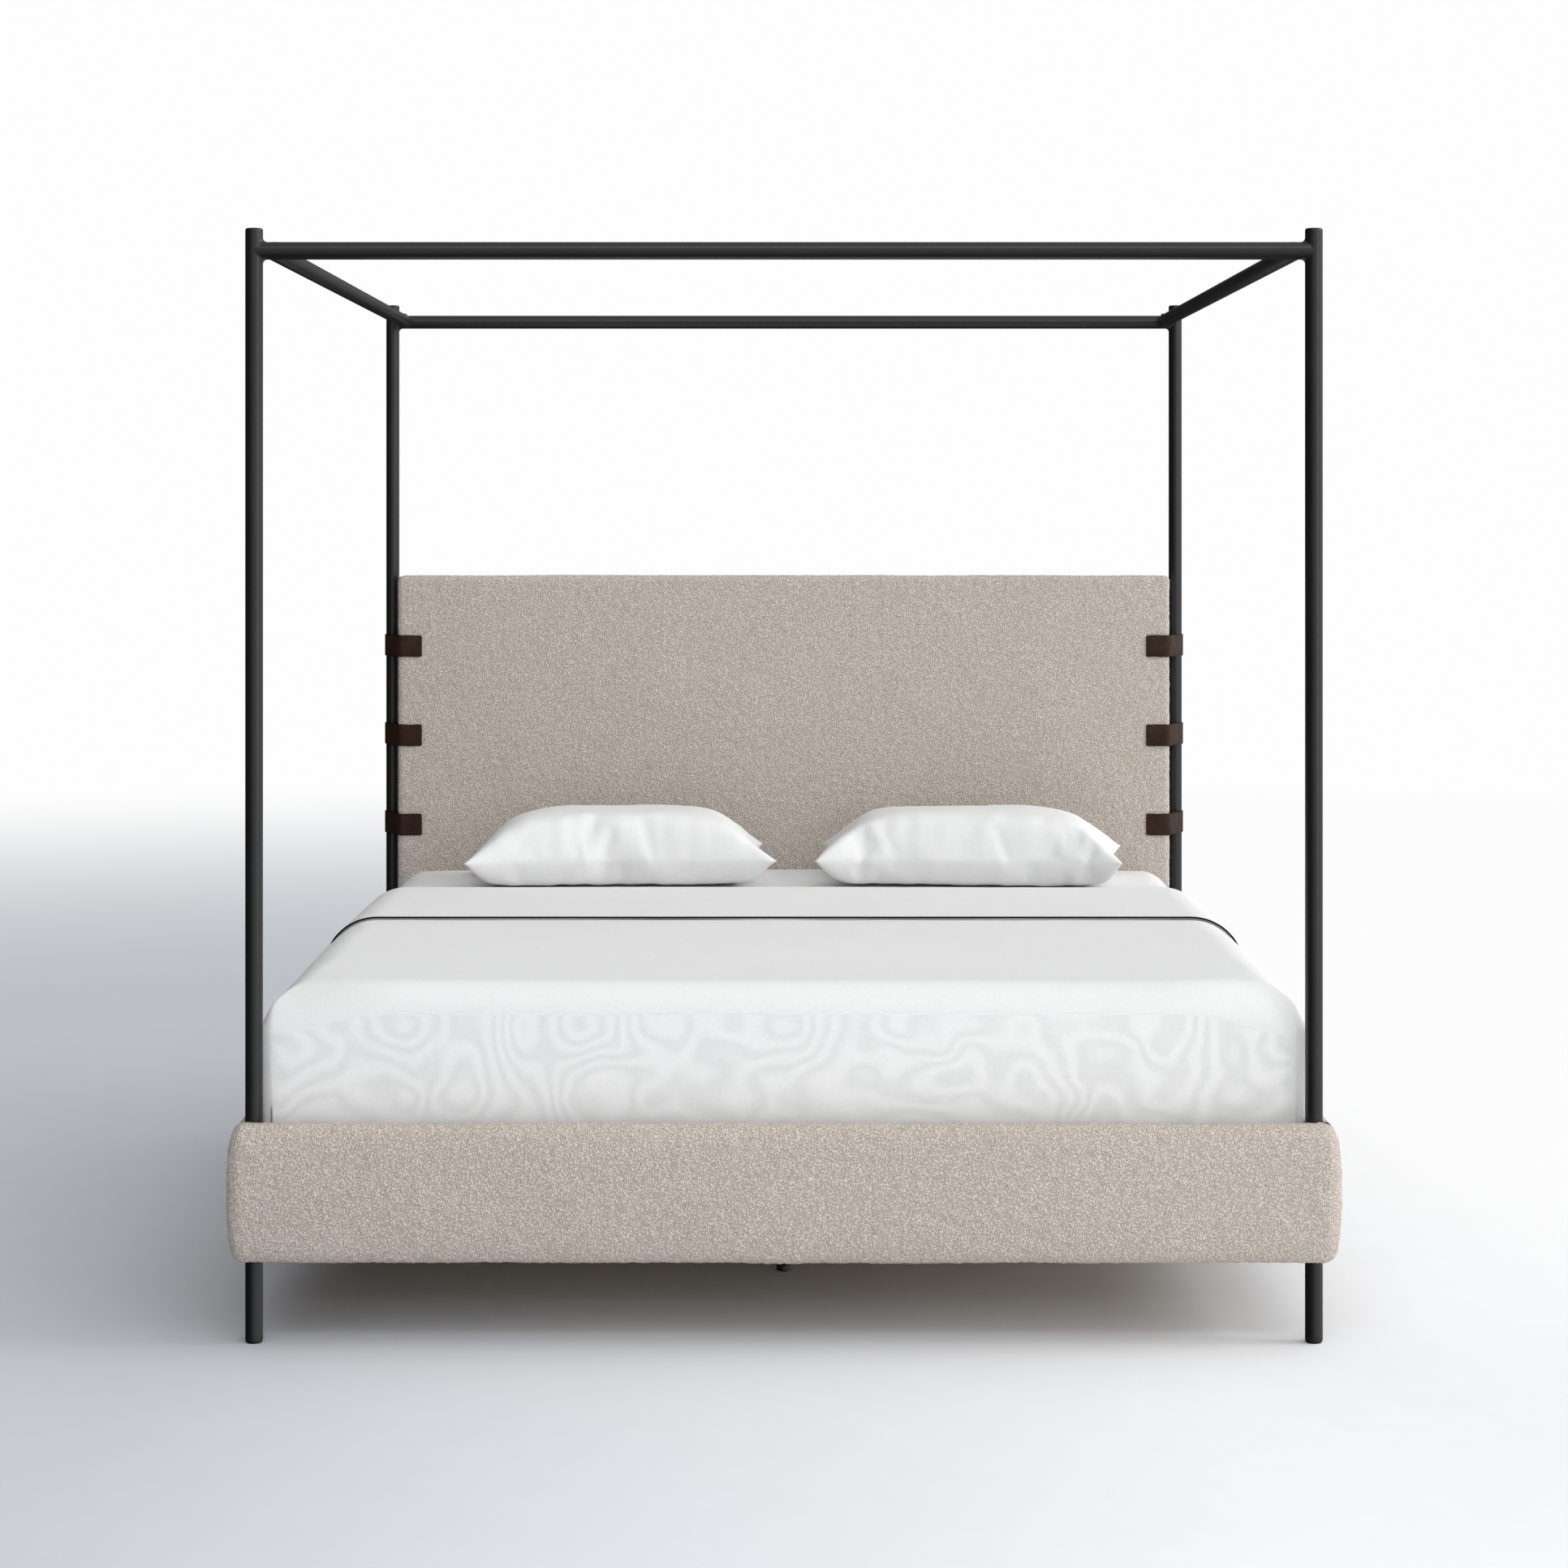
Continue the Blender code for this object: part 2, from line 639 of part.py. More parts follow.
def pillow(name, x, y, yaw):
    """A filled pillow: two bulged faces that meet in a seam running out to four corners."""
    across, deep = 12, 8
    turn = math.radians(yaw)
    levels = ((1, PILLOW_Z1 - PILLOW_SEAM_Z), (-1, PILLOW_SEAM_Z - PILLOW_Z0))
    points, index = [], {}
    for face, rise in levels:
        for i in range(across + 1):
            for j in range(deep + 1):
                u, v = 2 * i / across - 1, 2 * j / deep - 1
                u, v = math.sin(u * math.pi / 2), math.sin(v * math.pi / 2)
                rim = i in (0, across) or j in (0, deep)
                if rim and face == -1:
                    index[face, i, j] = index[1, i, j]
                    continue
                fill = ((1 - u * u) * (1 - v * v)) ** (0.42 if face == 1 else 0.30)
                px = u * PILLOW_HALF_X * (1 - 0.05 * (1 - v * v))
                py = v * PILLOW_HALF_Y * (1 - 0.07 * (1 - u * u))
                index[face, i, j] = len(points)
                points.append(
                    (
                        x + px * math.cos(turn) - py * math.sin(turn),
                        y + px * math.sin(turn) + py * math.cos(turn),
                        PILLOW_SEAM_Z + face * rise * fill,
                    )
                )
    faces = []
    for face, _ in levels:
        for i in range(across):
            for j in range(deep):
                corners = ((i, j), (i + 1, j), (i + 1, j + 1), (i, j + 1))
                faces.append([index[face, a, b] for a, b in corners])
    build(name, points, faces, cotton(), (x, y, PILLOW_Z0))


def bed():
    clear_scene()
    posts()
    canopy_end_rails()
    canopy_side_rails()
    foot_rail()
    side_rails()
    headboard()
    straps()
    corner_brackets()
    base()
    slats()
    bedding()
    for placed in PILLOWS:
        pillow(*placed)


bed()
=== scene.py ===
"""Looks of the four poster canopy bed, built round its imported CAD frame. Metres, +Z up, foot end towards -Y."""

import math

import bmesh
import bpy
import numpy as np
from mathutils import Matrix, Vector

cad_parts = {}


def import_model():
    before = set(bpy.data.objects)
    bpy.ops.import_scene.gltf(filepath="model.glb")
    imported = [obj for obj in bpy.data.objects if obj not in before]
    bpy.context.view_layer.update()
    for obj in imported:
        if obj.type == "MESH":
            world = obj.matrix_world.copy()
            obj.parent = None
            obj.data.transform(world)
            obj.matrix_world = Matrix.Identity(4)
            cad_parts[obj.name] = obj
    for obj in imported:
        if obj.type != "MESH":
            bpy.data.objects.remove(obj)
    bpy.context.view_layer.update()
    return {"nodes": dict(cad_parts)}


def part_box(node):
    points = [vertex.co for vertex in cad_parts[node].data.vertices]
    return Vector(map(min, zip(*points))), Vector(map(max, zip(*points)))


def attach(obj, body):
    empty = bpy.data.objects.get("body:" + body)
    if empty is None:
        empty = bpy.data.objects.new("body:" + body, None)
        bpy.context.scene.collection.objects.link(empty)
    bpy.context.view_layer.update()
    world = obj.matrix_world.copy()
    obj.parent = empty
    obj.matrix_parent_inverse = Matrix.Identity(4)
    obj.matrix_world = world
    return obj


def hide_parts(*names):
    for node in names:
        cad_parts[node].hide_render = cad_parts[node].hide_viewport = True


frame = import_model()
FRAME = "bed_frame"
SET = "mattress_set"


# ---------------------------------------------------------------- node helpers


class Nodes:
    """Short calls for building one material's node tree."""

    def __init__(self, name):
        self.material = bpy.data.materials.new(name)
        self.material.use_nodes = True
        self.tree = self.material.node_tree
        self.shader = self.tree.nodes["Principled BSDF"]
        self.where = self.tree.nodes.new("ShaderNodeTexCoord").outputs["Object"]

    def put(self, socket, value):
        if isinstance(value, bpy.types.NodeSocket):
            self.tree.links.new(value, socket)
        elif value is not None:
            socket.default_value = value

    def node(self, kind, out, inputs, **settings):
        made = self.tree.nodes.new(kind)
        for key, value in settings.items():
            setattr(made, key, value)
        for key, value in inputs.items():
            self.put(made.inputs[key], value)
        return made.outputs[out]

    def scaled(self, factors):
        inputs = {"Vector": self.where, "Scale": factors}
        return self.node("ShaderNodeMapping", "Vector", inputs)

    def noise(self, scale, detail=2.0, roughness=0.5, vector=None, kind="FBM", distortion=0.0):
        inputs = {
            "Vector": vector or self.where,
            "Scale": scale,
            "Detail": detail,
            "Roughness": roughness,
            "Distortion": distortion,
        }
        return self.node("ShaderNodeTexNoise", "Factor" if False else "Fac", inputs, noise_type=kind)

    def cells(self, scale, vector=None, feature="F1", out="Distance"):
        inputs = {"Vector": vector or self.where, "Scale": scale}
        return self.node("ShaderNodeTexVoronoi", out, inputs, feature=feature)

    def math(self, operation, a, b=None, c=None, clamp=False):
        made = self.tree.nodes.new("ShaderNodeMath")
        made.operation = operation
        made.use_clamp = clamp
        for socket, value in zip(made.inputs, (a, b, c)):
            self.put(socket, value)
        return made.outputs[0]

    def ramp(self, value, stops):
        made = self.tree.nodes.new("ShaderNodeValToRGB")
        self.put(made.inputs[0], value)
        elements = made.color_ramp.elements
        while len(elements) < len(stops):
            elements.new(0.5)
        for element, (at, colour) in zip(elements, stops):
            element.position = at
            element.color = (*colour, 1.0) if len(colour) == 3 else colour
        return made.outputs[0]

    def level(self, value, low, high, to_low=0.0, to_high=1.0):
        inputs = {"Value": value, "From Min": low, "From Max": high, "To Min": to_low, "To Max": to_high}
        return self.node("ShaderNodeMapRange", "Result", inputs)

    def mix(self, factor, a, b, blend="MIX"):
        made = self.tree.nodes.new("ShaderNodeMix")
        made.data_type = "RGBA"
        made.blend_type = blend
        self.put(made.inputs["Factor"], factor)
        for key, value in ((6, a), (7, b)):
            self.put(made.inputs[key], (*value, 1.0) if isinstance(value, tuple) else value)
        return made.outputs[2]

    def bump(self, height, distance, strength=1.0, normal=None):
        inputs = {"Height": height, "Distance": distance, "Strength": strength, "Normal": normal}
        return self.node("ShaderNodeBump", "Normal", inputs)

    def finish(self, **values):
        for key, value in values.items():
            self.put(self.shader.inputs[key.replace("_", " ").title().replace("Ior", "IOR")], value)
        return self.material


def set_inputs(nodes, table):
    for key, value in table.items():
        nodes.put(nodes.shader.inputs[key], value)
    return nodes.material


# ---------------------------------------------------------------- materials


def powder_coat():
    """Satin black powder coat with its faint orange peel and small differences in gloss."""
    n = Nodes("satin_black_powder_coat")
    peel = n.noise(700.0, 2.0, 0.5)
    tone = n.noise(9.0, 3.0, 0.55)
    colour = n.ramp(tone, [(0.3, (0.0070, 0.0070, 0.0071)), (0.7, (0.0095, 0.0095, 0.0096))])
    rough = n.level(n.noise(38.0, 3.0, 0.6), 0.25, 0.75, 0.27, 0.32)
    return set_inputs(
        n,
        {
            "Base Color": colour,
            "Roughness": rough,
            "Normal": n.bump(peel, 0.00005, 0.35),
            "Specular IOR Level": 0.5,
        },
    )


def boucle():
    """Curled loop yarn, about 4 mm from loop to loop: pale loops, and painted shade that turns the hollows between
    them a darker taupe.
    """
    n = Nodes("boucle")
    warp = n.node(
        "ShaderNodeTexNoise", "Color", {"Vector": n.where, "Scale": 240.0, "Detail": 1.0}, noise_type="FBM"
    )
    push = n.tree.nodes.new("ShaderNodeVectorMath")
    push.operation = "MULTIPLY_ADD"
    push.inputs[1].default_value = (0.0034, 0.0034, 0.0034)
    n.tree.links.new(warp, push.inputs[0])
    n.tree.links.new(n.where, push.inputs[2])
    bent = push.outputs[0]
    loops = n.cells(250.0, bent)
    curl = n.noise(430.0, 1.0, 0.6, bent, "RIDGED_MULTIFRACTAL")
    fibre = n.noise(1500.0, 2.0, 0.6)
    rise = n.level(loops, 0.05, 0.75, 1.0, 0.0)
    curled = n.level(curl, 0.2, 1.4, 0.0, 1.0)
    height = n.math("ADD", n.math("MULTIPLY", rise, 0.60), n.math("MULTIPLY", curled, 0.28))
    height = n.math("ADD", height, n.math("MULTIPLY", fibre, 0.16))
    # painted shade: a darker taupe colour for the hollows between the loops
    hollow_shade = n.ramp(n.noise(330.0, 1.0, 0.6, bent), [(0.34, (0.39, 0.324, 0.273)), (0.66, (0.53, 0.471, 0.420))])
    yarn = n.ramp(
        n.noise(420.0, 1.0, 0.5, bent), [(0.35, (0.83, 0.785, 0.745)), (0.62, (0.97, 0.955, 0.935))]
    )
    # painted shade: the colour darkens from the pale loop tops down into the hollows, following the loops' height
    colour = n.mix(n.level(height, 0.30, 0.72), hollow_shade, yarn)
    drift = n.noise(5.0, 3.0, 0.6)
    colour = n.mix(n.level(drift, 0.3, 0.7, 0.0, 0.06), colour, (0.60, 0.56, 0.53), "MULTIPLY")
    return set_inputs(
        n,
        {
            "Base Color": colour,
            "Roughness": 1.0,
            "Normal": n.bump(height, 0.0026, 1.0),
            "Specular IOR Level": 0.10,
            "Sheen Weight": 0.08,
            "Sheen Roughness": 0.6,
            "Sheen Tint": (0.95, 0.93, 0.90, 1.0),
        },
    )


def leather():
    """Dark brown bridle leather: fine pores, waxed tone changes, darker burnished edges."""
    n = Nodes("brown_bridle_leather")
    pores = n.cells(900.0)
    grain = n.noise(300.0, 4.0, 0.6)
    height = n.math("ADD", n.math("MULTIPLY", pores, 0.5), grain)
    tone = n.noise(34.0, 4.0, 0.6)
    colour = n.ramp(tone, [(0.28, (0.0170, 0.0070, 0.0036)), (0.72, (0.040, 0.0175, 0.0095))])
    z = n.node("ShaderNodeSeparateXYZ", "Z", {"Vector": n.where})
    edge = None
    for level in STRAP_LEVELS:
        off = n.math("ABSOLUTE", n.math("SUBTRACT", z, level))
        near = n.level(off, STRAP_HALF - 0.0035, STRAP_HALF - 0.0008)
        inside = n.math("LESS_THAN", off, STRAP_HALF * 1.5)
        near = n.math("MULTIPLY", near, inside)
        edge = near if edge is None else n.math("MAXIMUM", edge, near)
    colour = n.mix(n.math("MULTIPLY", edge, 0.7), colour, (0.006, 0.0035, 0.0025))
    rough = n.level(n.noise(60.0, 3.0, 0.6), 0.3, 0.7, 0.40, 0.54)
    return set_inputs(
        n,
        {
            "Base Color": colour,
            "Roughness": rough,
            "Normal": n.bump(height, 0.00018, 0.6),
            "Specular IOR Level": 0.16,
        },
    )


def cotton(name, tint=(0.825, 0.825, 0.82), weave_scale=1500.0):
    """White cotton: plain weave, slubs, and faint creasing."""
    n = Nodes(name)
    inputs = {"Vector": n.where, "Scale": weave_scale, "Distortion": 1.2, "Detail": 1.0}
    warp = n.node("ShaderNodeTexWave", "Fac", inputs, bands_direction="X")
    weft = n.node("ShaderNodeTexWave", "Fac", inputs, bands_direction="Y")
    slub = n.noise(420.0, 3.0, 0.6, n.scaled((1.0, 0.25, 1.0)))
    weave = n.math("ADD", n.math("MULTIPLY", warp, weft), n.math("MULTIPLY", slub, 0.8))
    crease = n.noise(26.0, 4.0, 0.62)
    deep = tuple(c * 0.955 for c in tint)
    colour = n.ramp(n.noise(190.0, 3.0, 0.6), [(0.3, deep), (0.7, tint)])
    normal = n.bump(crease, 0.0016, 0.35)
    normal = n.bump(weave, 0.00022, 0.5, normal)
    return set_inputs(
        n,
        {
            "Base Color": colour,
            "Roughness": 0.92,
            "Normal": normal,
            "Specular IOR Level": 0.2,
            "Sheen Weight": 0.06,
            "Sheen Roughness": 0.5,
        },
    )


def black_piping():
    n = Nodes("black_piping_cord")
    inputs = {"Vector": n.where, "Scale": 900.0, "Distortion": 0.6, "Detail": 1.0}
    twill = n.node("ShaderNodeTexWave", "Fac", inputs, bands_direction="DIAGONAL")
    colour = n.ramp(twill, [(0.2, (0.0015, 0.0015, 0.0016)), (0.8, (0.0045, 0.0045, 0.0048))])
    return set_inputs(
        n, {"Base Color": colour, "Roughness": 0.85, "Normal": n.bump(twill, 0.0002, 0.6), "Specular IOR Level": 0.12}
    )


def ticking():
    """Quilted mattress ticking."""
    n = Nodes("quilted_ticking")
    stripe = n.node(
        "ShaderNodeTexWave", "Fac", {"Vector": n.where, "Scale": 26.0, "Distortion": 0.0}, bands_direction="X"
    )
    cells = n.cells(14.0, None, "DISTANCE_TO_EDGE")
    quilt = n.level(cells, 0.0, 0.25)
    colour = n.mix(n.level(stripe, 0.90, 0.98, 0.0, 0.5), (0.74, 0.74, 0.72), (0.45, 0.46, 0.47))
    return set_inputs(
        n,
        {"Base Color": colour, "Roughness": 0.9, "Normal": n.bump(quilt, 0.004, 0.6), "Sheen Weight": 0.05},
    )


def lining():
    """Thin black dust-cover cloth stapled over the backs of the padded boards."""
    n = Nodes("black_dust_cover")
    web = n.noise(700.0, 4.0, 0.7)
    colour = n.ramp(web, [(0.3, (0.012, 0.012, 0.012)), (0.7, (0.030, 0.030, 0.031))])
    rough = n.level(web, 0.3, 0.7, 0.75, 0.95)
    return set_inputs(n, {"Base Color": colour, "Roughness": rough, "Normal": n.bump(web, 0.0003, 0.6)})


def wood(name, light, dark, along):
    """Sawn timber or plywood with its grain along one axis."""
    n = Nodes(name)
    squeeze = [26.0, 26.0, 26.0]
    squeeze[along] = 1.6
    rings = n.noise(1.0, 5.0, 0.62, n.scaled(tuple(squeeze)), "FBM", 1.1)
    pores = n.noise(14.0, 2.0, 0.5, n.scaled(tuple(squeeze)))
    colour = n.ramp(rings, [(0.32, dark), (0.66, light)])
    colour = n.mix(n.level(pores, 0.62, 0.75, 0.0, 0.35), colour, tuple(c * 0.6 for c in dark))
    rough = n.level(rings, 0.3, 0.7, 0.55, 0.72)
    return set_inputs(n, {"Base Color": colour, "Roughness": rough, "Normal": n.bump(pores, 0.0003, 0.4)})


def plated(name, colour, roughness):
    """Black zinc plating, brushed by handling."""
    n = Nodes(name)
    marks = n.noise(160.0, 4.0, 0.65)
    dim = tuple(c * 0.6 for c in colour)
    tone = n.ramp(marks, [(0.3, dim), (0.7, colour)])
    rough = n.level(marks, 0.3, 0.7, roughness, roughness + 0.12)
    return set_inputs(
        n,
        {"Base Color": tone, "Roughness": rough, "Metallic": 0.85, "Normal": n.bump(marks, 0.00006, 0.5)},
    )


def moulded(name):
    """Moulded black nylon with its fine spark texture."""
    n = Nodes(name)
    spark = n.noise(1400.0, 2.0, 0.6)
    colour = n.ramp(n.noise(60.0, 2.0, 0.5), [(0.3, (0.006, 0.006, 0.006)), (0.7, (0.009, 0.009, 0.009))])
    rough = n.level(spark, 0.3, 0.7, 0.42, 0.56)
    return set_inputs(n, {"Base Color": colour, "Roughness": rough, "Normal": n.bump(spark, 0.00015, 0.5)})


# ---------------------------------------------------------------- mesh helpers


def piece(name, points, faces, material, body=FRAME, crisp=None, weld=0.0):
    """A mesh piece that rides on a body, smooth shaded, its faces turned outwards."""
    mesh = bpy.data.meshes.new(name)
    mesh.from_pydata(np.asarray(points, float).tolist(), [], np.asarray(faces).tolist() if isinstance(faces, np.ndarray) else faces)
    if weld or crisp is not None or True:
        shape = bmesh.new()
        shape.from_mesh(mesh)
        if weld:
            bmesh.ops.remove_doubles(shape, verts=shape.verts, dist=weld)
        bmesh.ops.recalc_face_normals(shape, faces=shape.faces)
        shape.to_mesh(mesh)
        shape.free()
    mesh.shade_smooth()
    if crisp is not None:
        mesh.set_sharp_from_angle(angle=math.radians(crisp))
    obj = bpy.data.objects.new(name, mesh)
    bpy.context.scene.collection.objects.link(obj)
    mesh.materials.append(material)
    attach(obj, body)
    return obj


def grid(rows, columns, wrap_rows=False, wrap_columns=False):
    """Quads of a rows x columns grid of points, as an array of index quadruples."""
    r = np.arange(rows if wrap_rows else rows - 1)
    c = np.arange(columns if wrap_columns else columns - 1)
    i, j = np.meshgrid(r, c, indexing="ij")
    i2, j2 = (i + 1) % rows, (j + 1) % columns
    quads = np.stack([i * columns + j, i * columns + j2, i2 * columns + j2, i2 * columns + j], -1)
    return quads.reshape(-1, 4)


def hashed(i, j, k, seed):
    n = (i * 73856093) ^ (j * 19349663) ^ (k * 83492791) ^ (seed * 2654435761)
    n = n & 0xFFFFFFFF
    n = ((n ^ (n >> 15)) * 2246822519) & 0xFFFFFFFF
    n = ((n ^ (n >> 13)) * 3266489917) & 0xFFFFFFFF
    return ((n ^ (n >> 16)) & 0xFFFFFF) / 0xFFFFFF


def value_noise(points, size, seed=1):
    """Smooth random values from -1 to 1 that change over about `size` metres."""
    p = np.asarray(points) / size + 1000.0
    base = np.floor(p).astype(np.int64)
    f = p - base
    f = f * f * (3 - 2 * f)
    total = np.zeros(len(p))
    for dx in (0, 1):
        for dy in (0, 1):
            for dz in (0, 1):
                weight = (
                    (f[:, 0] if dx else 1 - f[:, 0])
                    * (f[:, 1] if dy else 1 - f[:, 1])
                    * (f[:, 2] if dz else 1 - f[:, 2])
                )
                total += weight * hashed(base[:, 0] + dx, base[:, 1] + dy, base[:, 2] + dz, seed)
    return total * 2 - 1


def normals_of(obj):
    mesh = obj.data
    out = np.empty(len(mesh.vertices) * 3, np.float32)
    mesh.vertices.foreach_get("normal", out)
    return out.reshape(-1, 3).astype(float)


def points_of(obj):
    out = np.empty(len(obj.data.vertices) * 3, np.float32)
    obj.data.vertices.foreach_get("co", out)
    return out.reshape(-1, 3).astype(float)


def move_points(obj, points):
    obj.data.vertices.foreach_set("co", np.asarray(points, np.float32).ravel())
    obj.data.update()


def fluff(obj, seed, height=0.0019):
    """Pushes a padded cover in and out by its yarn loops and by the softer unevenness of its padding."""
    p = points_of(obj)
    loops = value_noise(p, 0.0052, seed) * 0.65 + value_noise(p, 0.0105, seed + 1) * 0.35
    soft = value_noise(p, 0.11, seed + 2) * 0.0012 + value_noise(p, 0.30, seed + 3) * 0.0012
    move_points(obj, p + normals_of(obj) * (loops * height + soft)[:, None])


def resample(path, step, count=None):
    """Even points along a polyline, about `step` apart or `count` of them."""
    path = np.asarray(path, float)
    lengths = np.concatenate([[0], np.cumsum(np.linalg.norm(np.diff(path, axis=0), axis=1))])
    count = count or max(int(round(lengths[-1] / step)), 2)
    at = np.linspace(0, lengths[-1], count + 1)
    return np.stack([np.interp(at, lengths, path[:, i]) for i in range(path.shape[1])], 1)


def softened(path, rounds=3):
    """The polyline with its corners cut, as a curve would run."""
    path = np.asarray(path, float)
    for _ in range(rounds):
        first, last = path[:1], path[-1:]
        a, b = path[:-1], path[1:]
        cut = np.stack([a * 0.75 + b * 0.25, a * 0.25 + b * 0.75], 1).reshape(-1, path.shape[1])
        path = np.concatenate([first, cut, last])
    return path


# ---------------------------------------------------------------- sizes from the frame


def middle(node):
    low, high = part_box(node)
    return (Vector(low) + Vector(high)) / 2


POST = {
    (end, side): middle(f"post_{end}_{side}") for end in ("front", "rear") for side in ("left", "right")
}
POST_LOW, POST_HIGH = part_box("post_front_left")
TUBE_R = (POST_HIGH[0] - POST_LOW[0]) / 2
TOP_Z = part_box("post_cap_front_left")[1][2]
STRAP_LEVELS = [middle(f"strap_left_{level}").z for level in ("lower", "middle", "upper")]
STRAP_LOW, STRAP_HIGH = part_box("strap_left_lower")
STRAP_HALF = (STRAP_HIGH[2] - STRAP_LOW[2]) / 2
HEAD_LOW, HEAD_HIGH = (Vector(v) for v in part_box("headboard_upholstery"))
FOOT_LOW, FOOT_HIGH = (Vector(v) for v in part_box("foot_rail_upholstery"))
SIDE_LOW, SIDE_HIGH = (Vector(v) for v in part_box("side_rail_right_upholstery"))
BED_LOW, BED_HIGH = (Vector(v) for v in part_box("mattress"))
COVER_LOW, COVER_HIGH = (Vector(v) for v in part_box("coverlet"))
FOLD_LOW, FOLD_HIGH = (Vector(v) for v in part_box("top_sheet_fold"))
RAIL_Z = middle("canopy_rail_front").z
CROSS_Z = middle("rear_cross_tube").z
SIDE_EDGE_R = 0.107
FOOT_EDGE_R = 0.056
CORNER_EDGE_R = 0.092
TUCK_Z = COVER_HIGH.z - 0.075

COAT = powder_coat()
LOOP = boucle()
HIDE = leather()
SHEETING = cotton("white_cotton_percale")
PILLOWCASE = cotton("white_pillowcase", (0.80, 0.80, 0.797))
FITTED = cotton("white_fitted_sheet", (0.78, 0.78, 0.775))
PIPING = black_piping()
TICKING = ticking()
LINING = lining()
PLY = wood("birch_plywood", (0.56, 0.43, 0.29), (0.42, 0.30, 0.18), 0)
PLY_LONG = wood("birch_plywood_long", (0.56, 0.43, 0.29), (0.42, 0.30, 0.18), 1)
PINE = wood("pine_slats", (0.68, 0.52, 0.33), (0.50, 0.34, 0.18), 0)
PILLOW_RISE, PILLOW_DROP = 0.114, 0.063
DOME_LEVEL = 0.42
DOME_LEAN = (0.92, -0.40, 0.53)
ZINC = plated("black_zinc_plate", (0.16, 0.16, 0.165), 0.34)
NYLON = moulded("black_nylon")


# ---------------------------------------------------------------- tube frame


def turned(name, profile, at, material, replaced, sides=64, crisp=38):
    """A profile of (radius, height) pairs turned about the vertical through `at`, closed at both ends."""
    angles = np.arange(sides) * math.tau / sides
    rings = [
        np.stack([at[0] + r * np.cos(angles), at[1] + r * np.sin(angles), np.full(sides, z)], 1)
        for r, z in profile
    ]
    faces = grid(len(rings), sides, wrap_columns=True).tolist()
    last = (len(rings) - 1) * sides
    faces += [list(range(sides))[::-1], list(range(last, last + sides))]
    made = piece(name, np.concatenate(rings), faces, material, FRAME, crisp)
    if replaced:
        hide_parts(*replaced)
    return made


def pipe(name, start, end, radius, replaced, cross=None, cope=0.0, sides=64):
    """A coated tube, coped where it meets a crossing tube that runs along `cross` through each end."""
    start, end = Vector(start), Vector(end)
    along = (end - start).normalized()
    side = along.orthogonal().normalized()
    up = along.cross(side)
    lateral = along.cross(Vector(cross)) if cross else side
    rings = []
    for which in (0, 1):
        ring = []
        for i in range(sides):
            angle = math.tau * i / sides
            offset = (side * math.cos(angle) + up * math.sin(angle)) * radius
            reach = 0.0
            if cope:
                reach = math.sqrt(max(cope**2 - offset.dot(lateral) ** 2, 1e-9))
            ring.append((start + along * reach if which == 0 else end - along * reach) + offset)
        rings.append(np.array(ring))
    faces = grid(2, sides, wrap_columns=True).tolist()
    faces += [list(range(sides))[::-1], list(range(sides, 2 * sides))]
    made = piece(name, np.concatenate(rings), faces, COAT, FRAME, 38)
    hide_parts(*replaced)
    return made


def weld_fillet(name, post, rail_z, inward, radius=0.0085, steps=48, arc=7):
    """The smooth weld where a rail of the same size meets a post: the surface a small ball rolls along."""
    ball = TUBE_R + radius
    shrink = TUBE_R / ball
    rings = []
    for i in range(steps):
        turn = math.tau * i / steps
        centre = Vector((ball * abs(math.sin(turn)), ball * math.cos(turn), ball * math.sin(turn)))
        on_rail = Vector((centre.x, centre.y * shrink, centre.z * shrink))
        on_post = Vector((centre.x * shrink, centre.y * shrink, centre.z))
        a, b = on_rail - centre, on_post - centre
        ring = []
        for k in range(arc + 1):
            mid = a.lerp(b, k / arc)
            direction = mid.normalized() if mid.length > 1e-9 else a.normalized()
            spot = centre + direction * radius * (1.0 if 0 < k < arc else 1.02)
            ring.append((post.x + inward * spot.x, post.y + spot.y, rail_z + spot.z))
        under = (a + b).normalized() * (radius * 1.9) if (a + b).length > 1e-9 else a
        spot = centre + under
        ring.append((post.x + inward * spot.x, post.y + spot.y, rail_z + spot.z))
        rings.append(ring)
    points = np.array(rings).reshape(-1, 3)
    faces = grid(steps, arc + 2, wrap_rows=True, wrap_columns=True)
    piece(name, points, faces, COAT, FRAME, 60)


